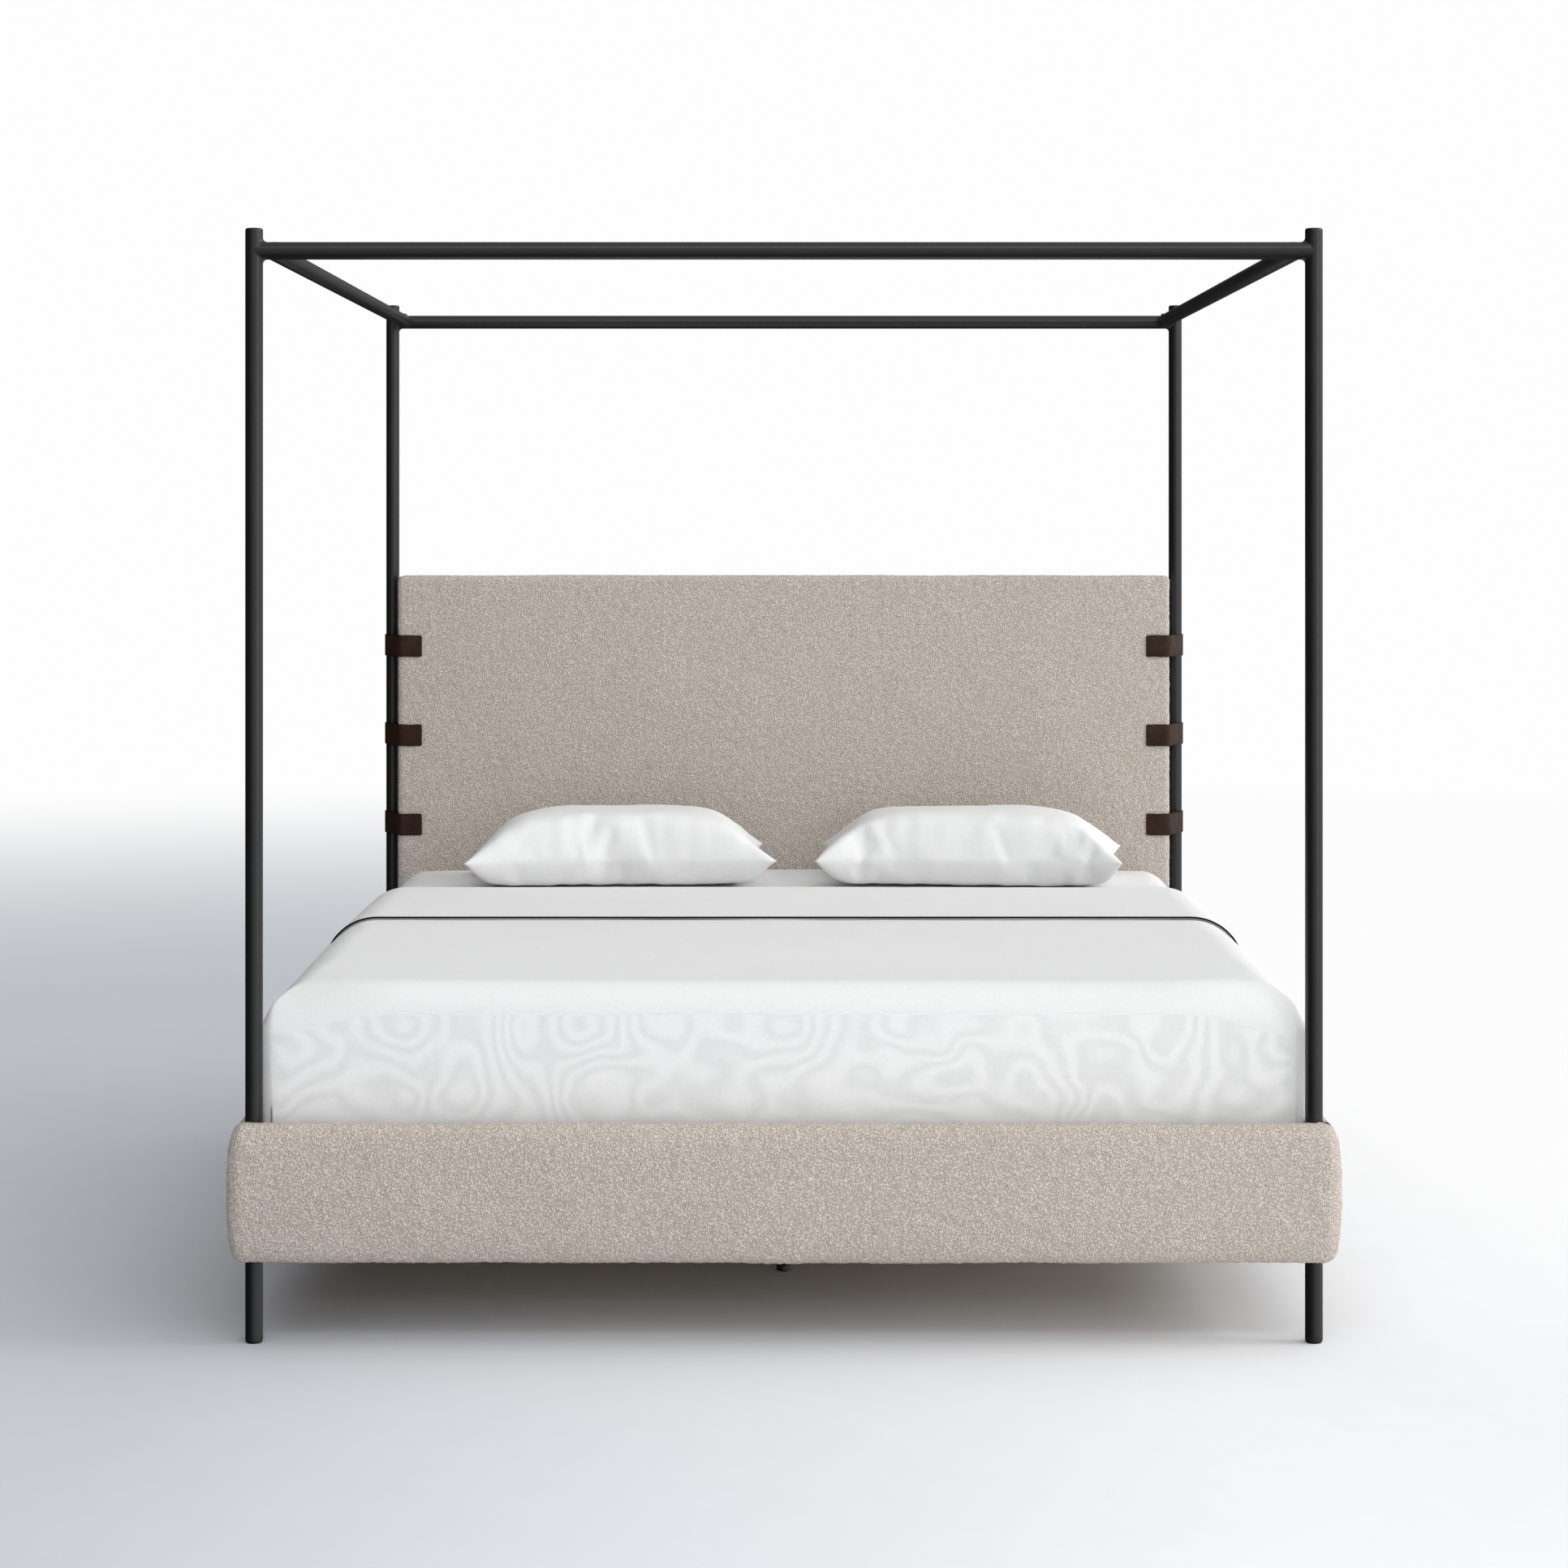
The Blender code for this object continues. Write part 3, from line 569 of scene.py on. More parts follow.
def tube_frame():
    for (end, side), at in POST.items():
        tag = f"{end}_{side}"
        low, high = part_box(f"post_{tag}")
        ends = ((at.x, at.y, low[2]), (at.x, at.y, high[2]))
        pipe(f"coated_post_{tag}", *ends, TUBE_R, [f"post_{tag}"])
        base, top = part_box(f"post_cap_{tag}")[0][2], TOP_Z
        rim = high[2] + 0.0001
        dome = [(TUBE_R - 0.003, base), (TUBE_R - 0.003, rim), (TUBE_R, rim)]
        for i in range(9):
            turn = math.pi / 2 * i / 8
            dome.append((TUBE_R - 0.0042 * (1 - math.cos(turn)), top - 0.0050 + 0.0042 * math.sin(turn)))
        for share in (0.8, 0.55, 0.3, 0.1):
            dome.append(((TUBE_R - 0.0042) * share, top - 0.0008 * share**2))
        turned(f"domed_cap_{tag}", dome, at, COAT, [f"post_cap_{tag}"], crisp=50)
        glide_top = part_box(f"post_{tag}")[0][2]
        foot = [
            (TUBE_R - 0.0042, 0.0),
            (TUBE_R - 0.0026, 0.0005),
            (TUBE_R - 0.0013, 0.0020),
            (TUBE_R - 0.0004, 0.0042),
            (TUBE_R, 0.0064),
            (TUBE_R, glide_top - 0.0002),
            (TUBE_R - 0.003, glide_top - 0.0001),
            (TUBE_R - 0.003, glide_top + 0.02),
        ]
        turned(f"nylon_glide_{tag}", foot, at, NYLON, [f"foot_glide_{tag}"])
    for end in ("front", "rear"):
        left, right = POST[end, "left"], POST[end, "right"]
        ends = ((left.x, left.y, RAIL_Z), (right.x, right.y, RAIL_Z))
        pipe(f"coated_{end}_rail", *ends, TUBE_R, [f"canopy_rail_{end}"], (0, 0, 1), TUBE_R * 0.98)
        for side, inward in (("left", 1), ("right", -1)):
            weld_fillet(f"weld_{end}_{side}", POST[end, side], RAIL_Z, inward)
    left, right = POST["rear", "left"], POST["rear", "right"]
    ends = ((left.x, left.y, CROSS_Z), (right.x, right.y, CROSS_Z))
    pipe("coated_lower_tube", *ends, TUBE_R, ["rear_cross_tube"], (0, 0, 1), TUBE_R * 0.98)
    for side, inward in (("left", 1), ("right", -1)):
        weld_fillet(f"weld_lower_{side}", POST["rear", side], CROSS_Z, inward)
        at = middle(f"canopy_rail_{side}")
        ends = ((at.x, POST["front", side].y, RAIL_Z), (at.x, POST["rear", side].y, RAIL_Z))
        name = f"coated_{side}_rail"
        pipe(name, *ends, TUBE_R, [f"canopy_rail_{side}"], (1, 0, 0), TUBE_R + 0.0006)


def fasteners():
    """Button-head screws through the side rails' upper walls, each with its socket."""
    for end in ("front", "rear"):
        for side in ("left", "right"):
            tag = f"{end}_{side}"
            at = middle(f"canopy_bolt_{tag}")
            low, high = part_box(f"canopy_bolt_{tag}")
            radius, top = (high[0] - low[0]) / 2, high[2]
            seat = RAIL_Z + TUBE_R
            profile = [(0.0038, low[2]), (0.0038, seat - 0.002), (radius * 0.98, seat - 0.0018)]
            for i in range(7):
                turn = math.pi / 2 * i / 6
                spread = radius * (0.42 + 0.58 * math.cos(turn))
                profile.append((spread, seat + 0.0008 + (top - seat - 0.0008) * math.sin(turn)))
            profile += [(0.0026, top), (0.0024, top - 0.0018), (0.0005, top - 0.0020)]
            turned(f"button_screw_{tag}", profile, at, ZINC, [f"canopy_bolt_{tag}"], 36, 34)


# ---------------------------------------------------------------- upholstery

RAIL_SHAPE = (
    (0.0, 0.0270),
    (0.004, 0.0185),
    (0.012, 0.0120),
    (0.026, 0.0070),
    (0.048, 0.0035),
    (0.088, 0.0010),
    (0.128, 0.0000),
    (0.173, 0.0010),
    (0.213, 0.0040),
    (0.234, 0.0080),
    (0.246, 0.0130),
    (0.254, 0.0195),
    (0.258, 0.0270),
)
LOOP_STEP = 0.0040


def rail_section(depth):
    """(height, inset) along the padded rail's cover: in under the board, up its face and over its top."""
    low = FOOT_LOW.z
    path = [(low + 0.0005, depth)] + [(low + h, inset) for h, inset in RAIL_SHAPE]
    path += [(FOOT_HIGH.z - 0.0004, depth)]
    return resample(softened(path, 2), LOOP_STEP)


def foot_rail():
    """One cover round the foot rail's front, ends, top and underside, with the lining behind."""
    section = rail_section(FOOT_HIGH.y - FOOT_LOW.y - 0.0004)
    front_corner = 0.033
    wide, front, back = FOOT_HIGH.x, FOOT_LOW.y, FOOT_HIGH.y
    straight = np.linspace(-1, 1, int(2 * (wide - front_corner) / LOOP_STEP) + 1)
    rings = []
    for z, inset in section:
        r = max(front_corner - 0.8 * inset, 0.0008)
        cx, cy = wide - inset - r, min(front + inset * 0.98 + r, back)
        ring = [(cx + r, y) for y in np.linspace(back, cy, 5)[:-1]]
        for i in range(14):
            turn = -math.pi / 2 * i / 14
            ring.append((cx + r * math.cos(turn), cy + r * math.sin(turn)))
        right = np.array(ring)
        middle_part = np.stack([-straight * cx, np.full(len(straight), cy - r)], 1)
        left = right[::-1] * np.array([-1, 1])
        plan = np.concatenate([right, middle_part, left])
        rings.append(np.column_stack([plan, np.full(len(plan), z)]))
    count = len(rings[0])
    cover = piece(
        "foot_rail_cover", np.concatenate(rings), grid(len(rings), count), LOOP, FRAME, weld=0.0004
    )
    fluff(cover, 11)
    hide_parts("foot_rail_upholstery")
    inner, edge = 0.004, wide - 0.02
    low, high = FOOT_LOW.z + inner, FOOT_HIGH.z - inner
    lining_panel("foot_rail_lining", -edge, edge, back - 0.0012, low, high, "foot_rail_board")


def lining_panel(name, left, right, y, low, high, board):
    """A thin cloth panel stapled over a board's back, a little slack between its staples."""
    xs, zs = np.linspace(left, right, 90), np.linspace(low, high, 24)
    u, v = np.meshgrid(xs, zs, indexing="ij")
    p = np.stack([u, np.full_like(u, y), v], -1).reshape(-1, 3)
    p[:, 1] += value_noise(p, 0.09, 5) * 0.0002
    panel = piece(name, p, grid(len(xs), len(zs)), LINING, FRAME)


def side_rails():
    for side, s in (("left", -1), ("right", 1)):
        section = rail_section(SIDE_HIGH.x - SIDE_LOW.x)
        out, front, end = SIDE_HIGH.x, FOOT_HIGH.y + 0.0006, SIDE_HIGH.y
        turn_r = 0.018
        ys = np.linspace(front, end - turn_r, int((end - turn_r - front) / LOOP_STEP))
        rings = []
        for z, inset in section:
            plan = [(out - inset, y) for y in ys]
            r = max(turn_r - inset * 0.6, 0.001)
            cx, cy = out - inset - r, end - r
            for i in range(1, 7):
                turn = math.pi / 2 * i / 6
                plan.append((cx + r * math.cos(turn), cy + r * math.sin(turn)))
            reach = min(cx, POST["rear", "right"].x + TUBE_R + 0.0007)
            plan += [(x, end) for x in np.linspace(cx, reach, 5)[1:]]
            rings.append(np.column_stack([np.array(plan), np.full(len(plan), z)]))
        p = np.concatenate(rings)
        for key in (("front", "right"), ("rear", "right")):
            at = POST[key]
            near = (np.abs(p[:, 1] - at.y) < TUBE_R + 0.0009) & (p[:, 0] < at.x + TUBE_R + 0.0009)
            clear = np.sqrt(np.maximum((TUBE_R + 0.0009) ** 2 - (p[:, 1] - at.y) ** 2, 0))
            p[near, 0] = np.maximum(p[near, 0], at.x + clear[near])
        rear = p[:, 1] > POST["rear", "right"].y + TUBE_R
        p[rear, 0] = np.maximum(p[rear, 0], POST["rear", "right"].x + TUBE_R * 0.2)
        p[:, 0] *= s
        name = f"side_rail_{side}_cover"
        cover = piece(name, p, grid(len(rings), len(rings[0])), LOOP, FRAME, weld=0.0004)
        fluff(cover, 21 if s < 0 else 31)
        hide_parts(f"side_rail_{side}_upholstery")


def box_skin(low, high, radius, steps, keep=None):
    """Points and quads of a rounded box with its own spacing along each axis. keep(centres, axis, side)
    says which quads of a face stay."""
    low, high = np.array(low, float), np.array(high, float)
    points, faces, start = [], [], 0
    lines = [np.linspace(low[k], high[k], steps[k] + 1) for k in range(3)]
    for axis in range(3):
        a, b = [k for k in range(3) if k != axis]
        for side in (0, 1):
            u, v = np.meshgrid(lines[a], lines[b], indexing="ij")
            p = np.zeros(u.shape + (3,))
            p[..., a], p[..., b], p[..., axis] = u, v, (low, high)[side][axis]
            p = p.reshape(-1, 3)
            quads = grid(len(lines[a]), len(lines[b]))
            if keep is not None:
                centres = p[quads].mean(1)
                quads = quads[keep(centres, axis, side)]
            if not len(quads):
                continue
            used, quads = np.unique(quads, return_inverse=True)
            p = p[used]
            points.append(p)
            faces.append(quads.reshape(-1, 4) + start)
            start += len(p)
    p = np.concatenate(points)
    inner_low, inner_high = low + radius, high - radius
    core = np.clip(p, inner_low, inner_high)
    away = p - core
    length = np.linalg.norm(away, axis=1)
    scale = np.where(length > 1e-9, radius / np.maximum(length, 1e-9), 0)
    edge = (np.abs(away) > 1e-9).sum(1) > 1
    p = np.where(edge[:, None], core + away * scale[:, None], p)
    return p, np.concatenate(faces)


def headboard():
    low, high = np.array(HEAD_LOW), np.array(HEAD_HIGH)
    margin = 0.035

    def keep(centres, axis, side):
        if axis != 1 or side == 0:
            return np.ones(len(centres), bool)
        x_in = (centres[:, 0] > low[0] + margin) & (centres[:, 0] < high[0] - margin)
        z_in = (centres[:, 2] > low[2] + margin) & (centres[:, 2] < high[2] - margin)
        return ~(x_in & z_in)

    step = 0.0045
    steps = [int((high[k] - low[k]) / step) for k in range(3)]
    points, faces = box_skin(low, high, 0.013, steps, keep)
    cover = piece("headboard_cover", points, faces, LOOP, FRAME, weld=0.0003)
    p = points_of(cover)
    half, mid_z = (high[0] - low[0]) / 2, (high[2] + low[2]) / 2
    u, v = np.abs(p[:, 0]) / half, np.abs(p[:, 2] - mid_z) / ((high[2] - low[2]) / 2)
    front = p[:, 1] < low[1] + 0.03
    crown = (1 - u**10) * (1 - v**10) * 0.0022
    p[front, 1] -= crown[front]
    for level in STRAP_LEVELS:
        near = np.clip(1.25 - np.abs(p[:, 2] - level) / (STRAP_HALF + 0.012), 0, 1)
        reach = np.clip((np.abs(p[:, 0]) - 0.895) / 0.03, 0, 1)
        press = near**0.7 * reach * front * 0.0028
        p[:, 1] += press
    move_points(cover, p)
    fluff(cover, 41, 0.0017)
    p = points_of(cover)
    flat_back = (p[:, 1] > high[1] - 0.006) & (np.abs(p[:, 0]) < half - 0.016)
    flat_back &= np.abs(p[:, 2] - mid_z) < (high[2] - low[2]) / 2 - 0.016
    p[flat_back, 1] = np.maximum(p[flat_back, 1], high[1])
    move_points(cover, p)
    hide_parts("headboard_upholstery")
    inner = 0.03
    ends = (low[0] + inner, high[0] - inner, high[1] - 0.0008)
    lining_panel("headboard_lining", *ends, low[2] + inner, high[2] - inner, "headboard_core")


# ---------------------------------------------------------------- straps


def arc(centre, radius, first, last, steps):
    turns = np.linspace(first, last, steps + 1)
    return [(centre[0] + radius * math.cos(a), centre[1] + radius * math.sin(a)) for a in turns]


def strap_path(thickness):
    """Centre line in plan, +X side: face of the headboard, round its edge, round the post, and back."""
    stand_off = thickness / 2 + 0.0003
    edge_radius = 0.012
    edge = (HEAD_HIGH.x - edge_radius, HEAD_LOW.y + edge_radius)
    post = (POST["rear", "right"].x, POST["rear", "right"].y)
    edge_r, post_r = edge_radius + stand_off, TUBE_R + stand_off
    across = Vector(post) - Vector(edge)
    leave = math.atan2(across.y, across.x) - math.acos((edge_r - post_r) / across.length)
    back = (0.930, HEAD_HIGH.y + stand_off)
    home = Vector(back) - Vector(post)
    arrive = math.atan2(home.y, home.x) % math.tau - math.acos(post_r / home.length)
    inner_end = -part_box("strap_left_lower")[1][0]
    path = [(abs(strap_inner_end()), HEAD_LOW.y - stand_off)]
    path += arc(edge, edge_r, -math.pi / 2, leave, 12)
    path += arc(post, post_r, leave, arrive, 30)
    del inner_end
    return np.array(path + [back, (0.890, HEAD_HIGH.y + stand_off)])


def strap_inner_end():
    """Where the strap stops on the headboard's face: the CAD strap's front end."""
    mesh = frame["nodes"]["strap_right_lower"].data
    front = [v.co.x for v in mesh.vertices if v.co.y < HEAD_LOW.y]
    return min(front)


def straps():
    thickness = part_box("strap_right_lower")[0][1]
    thickness = 0.003
    path = resample(strap_path(thickness), 0.0028)
    ahead = np.gradient(path, axis=0)
    ahead /= np.linalg.norm(ahead, axis=1)[:, None]
    out = np.stack([ahead[:, 1], -ahead[:, 0]], 1)
    half, t, r = STRAP_HALF, thickness / 2, 0.0011
    section = []
    for cz, cn, first in ((half - r, t - r, 0), (half - r, -t + r, -90), (-half + r, -t + r, 180), (-half + r, t - r, 90)):
        for i in range(4):
            turn = math.radians(first + (90 * i / 3 if first != 0 else 90 - 90 * i / 3))
            section.append((cz + r * abs(math.sin(turn)) * (1 if cz > 0 else -1) * 1.0, cn + r * abs(math.cos(turn)) * (1 if cn > 0 else -1)))
    section = order_section(half, t, r)
    for side, s in (("left", -1), ("right", 1)):
        for number, level in enumerate(("lower", "middle", "upper")):
            z0 = STRAP_LEVELS[number]
            rings = []
            for i, (at, away) in enumerate(zip(path, out)):
                share = min(i, len(path) - 1 - i)
                narrow = 1.0 - (0.0018 / half if share == 0 else 0.0005 / half if share == 1 else 0.0)
                wave = 0.0003 * math.sin(i * 0.35 + number * 2 + s)
                for dz, dn in section:
                    spot = at + away * dn
                    rings.append((s * spot[0], spot[1], z0 + dz * narrow + wave))
            count = len(section)
            faces = grid(len(path), count, wrap_columns=True).tolist()
            last = (len(path) - 1) * count
            faces += [list(range(count)), list(range(last, last + count))]
            name = f"leather_strap_{side}_{level}"
            strap = piece(name, rings, faces, HIDE, FRAME, 50)
            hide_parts(f"strap_{side}_{level}")


def order_section(half, t, r):
    """A flat strap's section with rounded edges, as (height, depth) pairs in order round it."""
    section = []
    for cz, cn, first in ((half - r, t - r, 0.0), (-half + r, t - r, 90.0), (-half + r, -t + r, 180.0), (half - r, -t + r, 270.0)):
        for i in range(4):
            turn = math.radians(first + 90.0 * i / 3)
            section.append((cz + r * math.cos(turn), cn + r * math.sin(turn)))
    return section


# ---------------------------------------------------------------- bedding


def spaced(low, high, step, dense=()):
    """Grid positions from low to high, `step` apart, and closer within the (from, to, step) stretches."""
    values = [np.linspace(low, high, max(int(round((high - low) / step)), 2) + 1)]
    for first, last, fine in dense:
        values.append(np.arange(max(first, low), min(last, high), fine))
    merged = np.unique(np.concatenate(values).round(5))
    return merged[np.concatenate([[True], np.diff(merged) > 0.0012])]


def eased(t):
    t = np.clip(t, 0, 1)
    return t * t * (3 - 2 * t)


def slab_skin(low, high, plan_r, bottom, step, head, dense_x=(), dense_y=(), dense_z=()):
    """A skin over a block: its top and its sides down to `bottom`, with corners of plan_r in plan and soft
    upper edges, rounder along the bed than across it. Without head, the skin just ends at the head side."""
    xs = spaced(low[0], high[0], step, dense_x)
    ys = spaced(low[1], high[1], step, dense_y)
    zs = spaced(bottom, high[2], step, dense_z)
    points, faces, start = [], [], 0

    def face(u, v, build):
        nonlocal start
        a, b = np.meshgrid(u, v, indexing="ij")
        p = np.stack([np.broadcast_to(c, a.shape) for c in build(a, b)], -1).reshape(-1, 3)
        points.append(p.astype(float))
        faces.append(grid(len(u), len(v)) + start)
        start += len(p)

    face(xs, ys, lambda a, b: (a, b, high[2]))
    face(ys, zs, lambda a, b: (low[0], a, b))
    face(ys, zs, lambda a, b: (high[0], a, b))
    face(xs, zs, lambda a, b: (a, low[1], b))
    if head:
        face(xs, zs, lambda a, b: (a, high[1], b))
    p = np.concatenate(points)
    far = 9.0
    gaps = np.stack(
        [p[:, 0] - low[0], high[0] - p[:, 0], p[:, 1] - low[1], (high[1] - p[:, 1]) if head else p[:, 1] + far], 1
    )
    foot_r = FOOT_EDGE_R + (CORNER_EDGE_R - FOOT_EDGE_R) * eased((np.abs(p[:, 0]) - 0.72) / 0.24)
    along = eased((gaps[:, 2:].min(1) - gaps[:, :2].min(1)) / 0.28)
    edge_r = foot_r + (SIDE_EDGE_R - foot_r) * along
    depth = high[2] - p[:, 2]
    nearest = gaps.min(1)
    on_top = depth < 1e-7
    half_turn = math.pi / 4
    turn = np.where(
        on_top,
        half_turn * (1 + np.clip(nearest / edge_r, 0, 1)),
        half_turn * (1 - np.clip(depth / edge_r, 0, 1)),
    )
    first = edge_r * (1 - math.cos(half_turn))
    share = np.where(on_top, 1.0, edge_r * (1 - np.cos(turn)) / first)

    def moved(gap):
        rolled = edge_r * (1 - np.cos(half_turn * (1 + np.clip(gap / edge_r, 0, 1))))
        return np.where(gap < edge_r, share * (rolled - gap), 0.0)

    p[:, 0] += moved(gaps[:, 0]) - moved(gaps[:, 1])
    p[:, 1] += moved(gaps[:, 2]) - (moved(gaps[:, 3]) if head else 0.0)
    rolled_z = high[2] - edge_r * (1 - np.sin(turn))
    p[:, 2] = np.where(on_top | (depth < edge_r), rolled_z, p[:, 2])
    qx = np.maximum(p[:, 0] - (high[0] - plan_r), 0) - np.maximum(low[0] + plan_r - p[:, 0], 0)
    qy = -np.maximum(low[1] + plan_r - p[:, 1], 0)
    if head:
        qy += np.maximum(p[:, 1] - (high[1] - plan_r), 0)
    both = (np.abs(qx) > 1e-7) & (np.abs(qy) > 1e-7)
    reach = np.maximum(np.hypot(qx, qy), 1e-9)
    scale = np.where(both, np.maximum(np.abs(qx), np.abs(qy)) / reach, 1.0)
    p[:, 0] += qx * (scale - 1)
    p[:, 1] += qy * (scale - 1)
    return p, np.concatenate(faces)


def settled(p):
    """The mattress gives towards the foot: a little across the bed, more at its corners."""
    foot = eased((-0.45 - p[:, 1]) / 0.58)
    side = eased((np.abs(p[:, 0]) - 0.80) / 0.17) * eased((-0.80 - p[:, 1]) / 0.22)
    high = np.clip((p[:, 2] - 0.42) / 0.18, 0, 1)
    out = p.copy()
    out[:, 2] -= high * (0.0125 * foot + 0.0075 * side)
    return out


def creased(obj, wrinkle, seed):
    """Slow unevenness of stretched cloth, a little longer along the bed than across it."""
    p = points_of(obj)
    soft = (
        value_noise(p, 0.30, seed)
        + value_noise(p * np.array([1, 0.55, 1]), 0.12, seed + 1) * 0.55
        + value_noise(p, 0.05, seed + 2) * 0.16
    )
    move_points(obj, p + normals_of(obj) * (soft * wrinkle)[:, None])


def mattress():
    low, high = np.array(BED_LOW) + 0.004, np.array(BED_HIGH) - 0.004
    steps = [60, 64, 12]
    points, faces = box_skin(low, high, 0.103, steps)
    core = piece("pocket_mattress", points, faces, TICKING, SET, weld=0.0005)
    p = points_of(core)
    bands = 1.0 - 0.010 * (np.abs(np.sin(p[:, 2] * 60)) ** 0.5)
    p[:, 0] *= np.where(np.abs(p[:, 0]) > high[0] - 0.02, bands, 1.0)
    move_points(core, settled(p))
    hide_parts("mattress")
    points, faces = slab_skin(BED_LOW, BED_HIGH, 0.080, BED_LOW.z + 0.012, 0.012, True)
    sheet = piece("fitted_sheet", points, faces, FITTED, SET, weld=0.0003)
    creased(sheet, 0.0014, 71)
    move_points(sheet, settled(points_of(sheet)))
    return sheet


def coverlet():
    """The flat sheet over the bed's foot end, tucked in with a folded corner at each side."""
    edge = (COVER_HIGH.x - 0.045, COVER_HIGH.x, 0.0035)
    points, faces = slab_skin(
        COVER_LOW,
        COVER_HIGH,
        0.022,
        COVER_LOW.z,
        0.010,
        False,
        dense_x=(edge, (-edge[1], -edge[0], 0.0035)),
        dense_y=((COVER_LOW.y, COVER_LOW.y + 0.05, 0.0035),),
        dense_z=((COVER_HIGH.z - 0.125, COVER_HIGH.z - 0.055, 0.0035),),
    )
    made = piece("flat_sheet", points, faces, SHEETING, SET, weld=0.0003)
    creased(made, 0.0009, 81)
    p = points_of(made)
    lift = np.zeros_like(p)
    top = TUCK_Z
    below_edge = np.clip((top + 0.02 - p[:, 2]) / 0.03, 0, 1)
    for s in (-1, 1):
        side = np.clip((s * p[:, 0] - (COVER_HIGH.x - 0.012)) / 0.006, 0, 1)
        back = p[:, 1] - (COVER_LOW.y + 0.045)
        fold = np.clip((top - p[:, 2] + 0.012 - back * 0.95) / 0.010, 0, 1)
        lift[:, 0] += s * side * fold * below_edge * 0.0038
    front = np.clip((COVER_LOW.y + 0.016 - p[:, 1]) / 0.008, 0, 1)
    step = np.clip((p[:, 0] - (COVER_HIGH.x - 0.0185)) / 0.004, 0, 1)
    crease = np.exp(-(((p[:, 0] - (COVER_HIGH.x - 0.0205)) / 0.003) ** 2))
    lift[:, 1] += front * below_edge * (crease * 0.0012 - step * 0.0018)
    ear = np.exp(-(((p[:, 2] - (top - 0.010)) / 0.011) ** 2))
    ear *= np.exp(-(((p[:, 1] - (COVER_LOW.y + 0.028)) / 0.016) ** 2)) * (p[:, 0] < -COVER_HIGH.x + 0.03)
    lift[:, 0] -= ear * 0.0085
    sag = np.clip((top - p[:, 2]) / 0.2, 0, 1)
    low_part = np.abs(p[:, 0]) > COVER_HIGH.x - 0.02
    lift[:, 0] -= np.sign(p[:, 0]) * low_part * sag * 0.0030
    move_points(made, settled(p + lift))
    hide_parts("coverlet")
    return made


def over_section(high_x, top, bottom, radius, offset):
    """(x, z) of a line over the bed from side to side, `offset` outside the block's own surface."""
    path = [(-high_x - offset, bottom)]
    for i in range(13):
        turn = math.pi - math.pi / 2 * i / 12
        path.append((-high_x + radius + (radius + offset) * math.cos(turn), top - radius + (radius + offset) * math.sin(turn)))
    for i in range(13):
        turn = math.pi / 2 - math.pi / 2 * i / 12
        path.append((high_x - radius + (radius + offset) * math.cos(turn), top - radius + (radius + offset) * math.sin(turn)))
    path.append((high_x + offset, bottom))
    return resample(path, 0, 240)


def folded_band():
    """The top sheet turned down over itself: two layers that join in a soft roll at the head side, and the
    hem with its black piping towards the foot."""
    y0, y1 = FOLD_LOW.y, FOLD_HIGH.y
    lower, upper = 0.0012, 0.0062
    bottom = FOLD_LOW.z
    roll_r = (upper - lower) / 2
    profile = [(y0 + 0.004, lower)]
    ys = np.linspace(y0 + 0.004, y1 - roll_r, 30)
    profile = [(y, lower) for y in ys]
    for i in range(1, 9):
        turn = -math.pi / 2 + math.pi * i / 9
        profile.append((y1 - roll_r + roll_r * math.cos(turn), (lower + upper) / 2 + roll_r * math.sin(turn)))
    profile += [(y, upper) for y in np.linspace(y1 - roll_r, y0, 52)]
    profile += [(y0 - 0.0008, upper * 0.72), (y0, lower + 0.0004)]
    rows = []
    for y, offset in profile:
        line = over_section(COVER_HIGH.x, COVER_HIGH.z, bottom, SIDE_EDGE_R, offset)
        sway = np.sin(line[:, 0] * 5.0) * 0.0015 * (1 - abs(y - (y0 + y1) / 2) / (y1 - y0))
        rows.append(np.column_stack([line[:, 0], np.full(len(line), y) + sway, line[:, 1]]))
    points = np.concatenate(rows)
    made = piece("folded_sheet_band", points, grid(len(rows), len(rows[0])), SHEETING, SET)
    p = points_of(made)
    soft = value_noise(p, 0.22, 91) * 0.0010 + value_noise(p, 0.07, 92) * 0.0003
    up = np.column_stack([np.zeros(len(p)), np.zeros(len(p)), np.ones(len(p))])
    top = p[:, 2] > COVER_HIGH.z - 0.02
    p[top] += (up * soft[:, None])[top]
    move_points(made, settled(p))
    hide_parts("top_sheet_fold")
    cord = piping_line(y0 - 0.0012, bottom)


def piping_line(y, bottom):
    line = over_section(COVER_HIGH.x, COVER_HIGH.z, bottom, SIDE_EDGE_R, 0.0050)
    sides, radius = 10, 0.0021
    middle_line = settled(np.column_stack([line[:, 0], np.full(len(line), y), line[:, 1]]))
    ahead = np.gradient(middle_line, axis=0)
    ahead /= np.linalg.norm(ahead, axis=1)[:, None]
    across = np.array([0.0, 1.0, 0.0])
    normal = np.cross(ahead, across)
    rings = []
    for at, n in zip(middle_line, normal):
        for i in range(sides):
            turn = math.tau * i / sides
            rings.append(at + n * radius * math.cos(turn) + across * radius * math.sin(turn))
    faces = grid(len(middle_line), sides, wrap_columns=True).tolist()
    last = (len(middle_line) - 1) * sides
    faces += [list(range(sides)), list(range(last, last + sides))]
    return piece("sheet_piping", rings, faces, PIPING, SET)


# ---------------------------------------------------------------- pillows


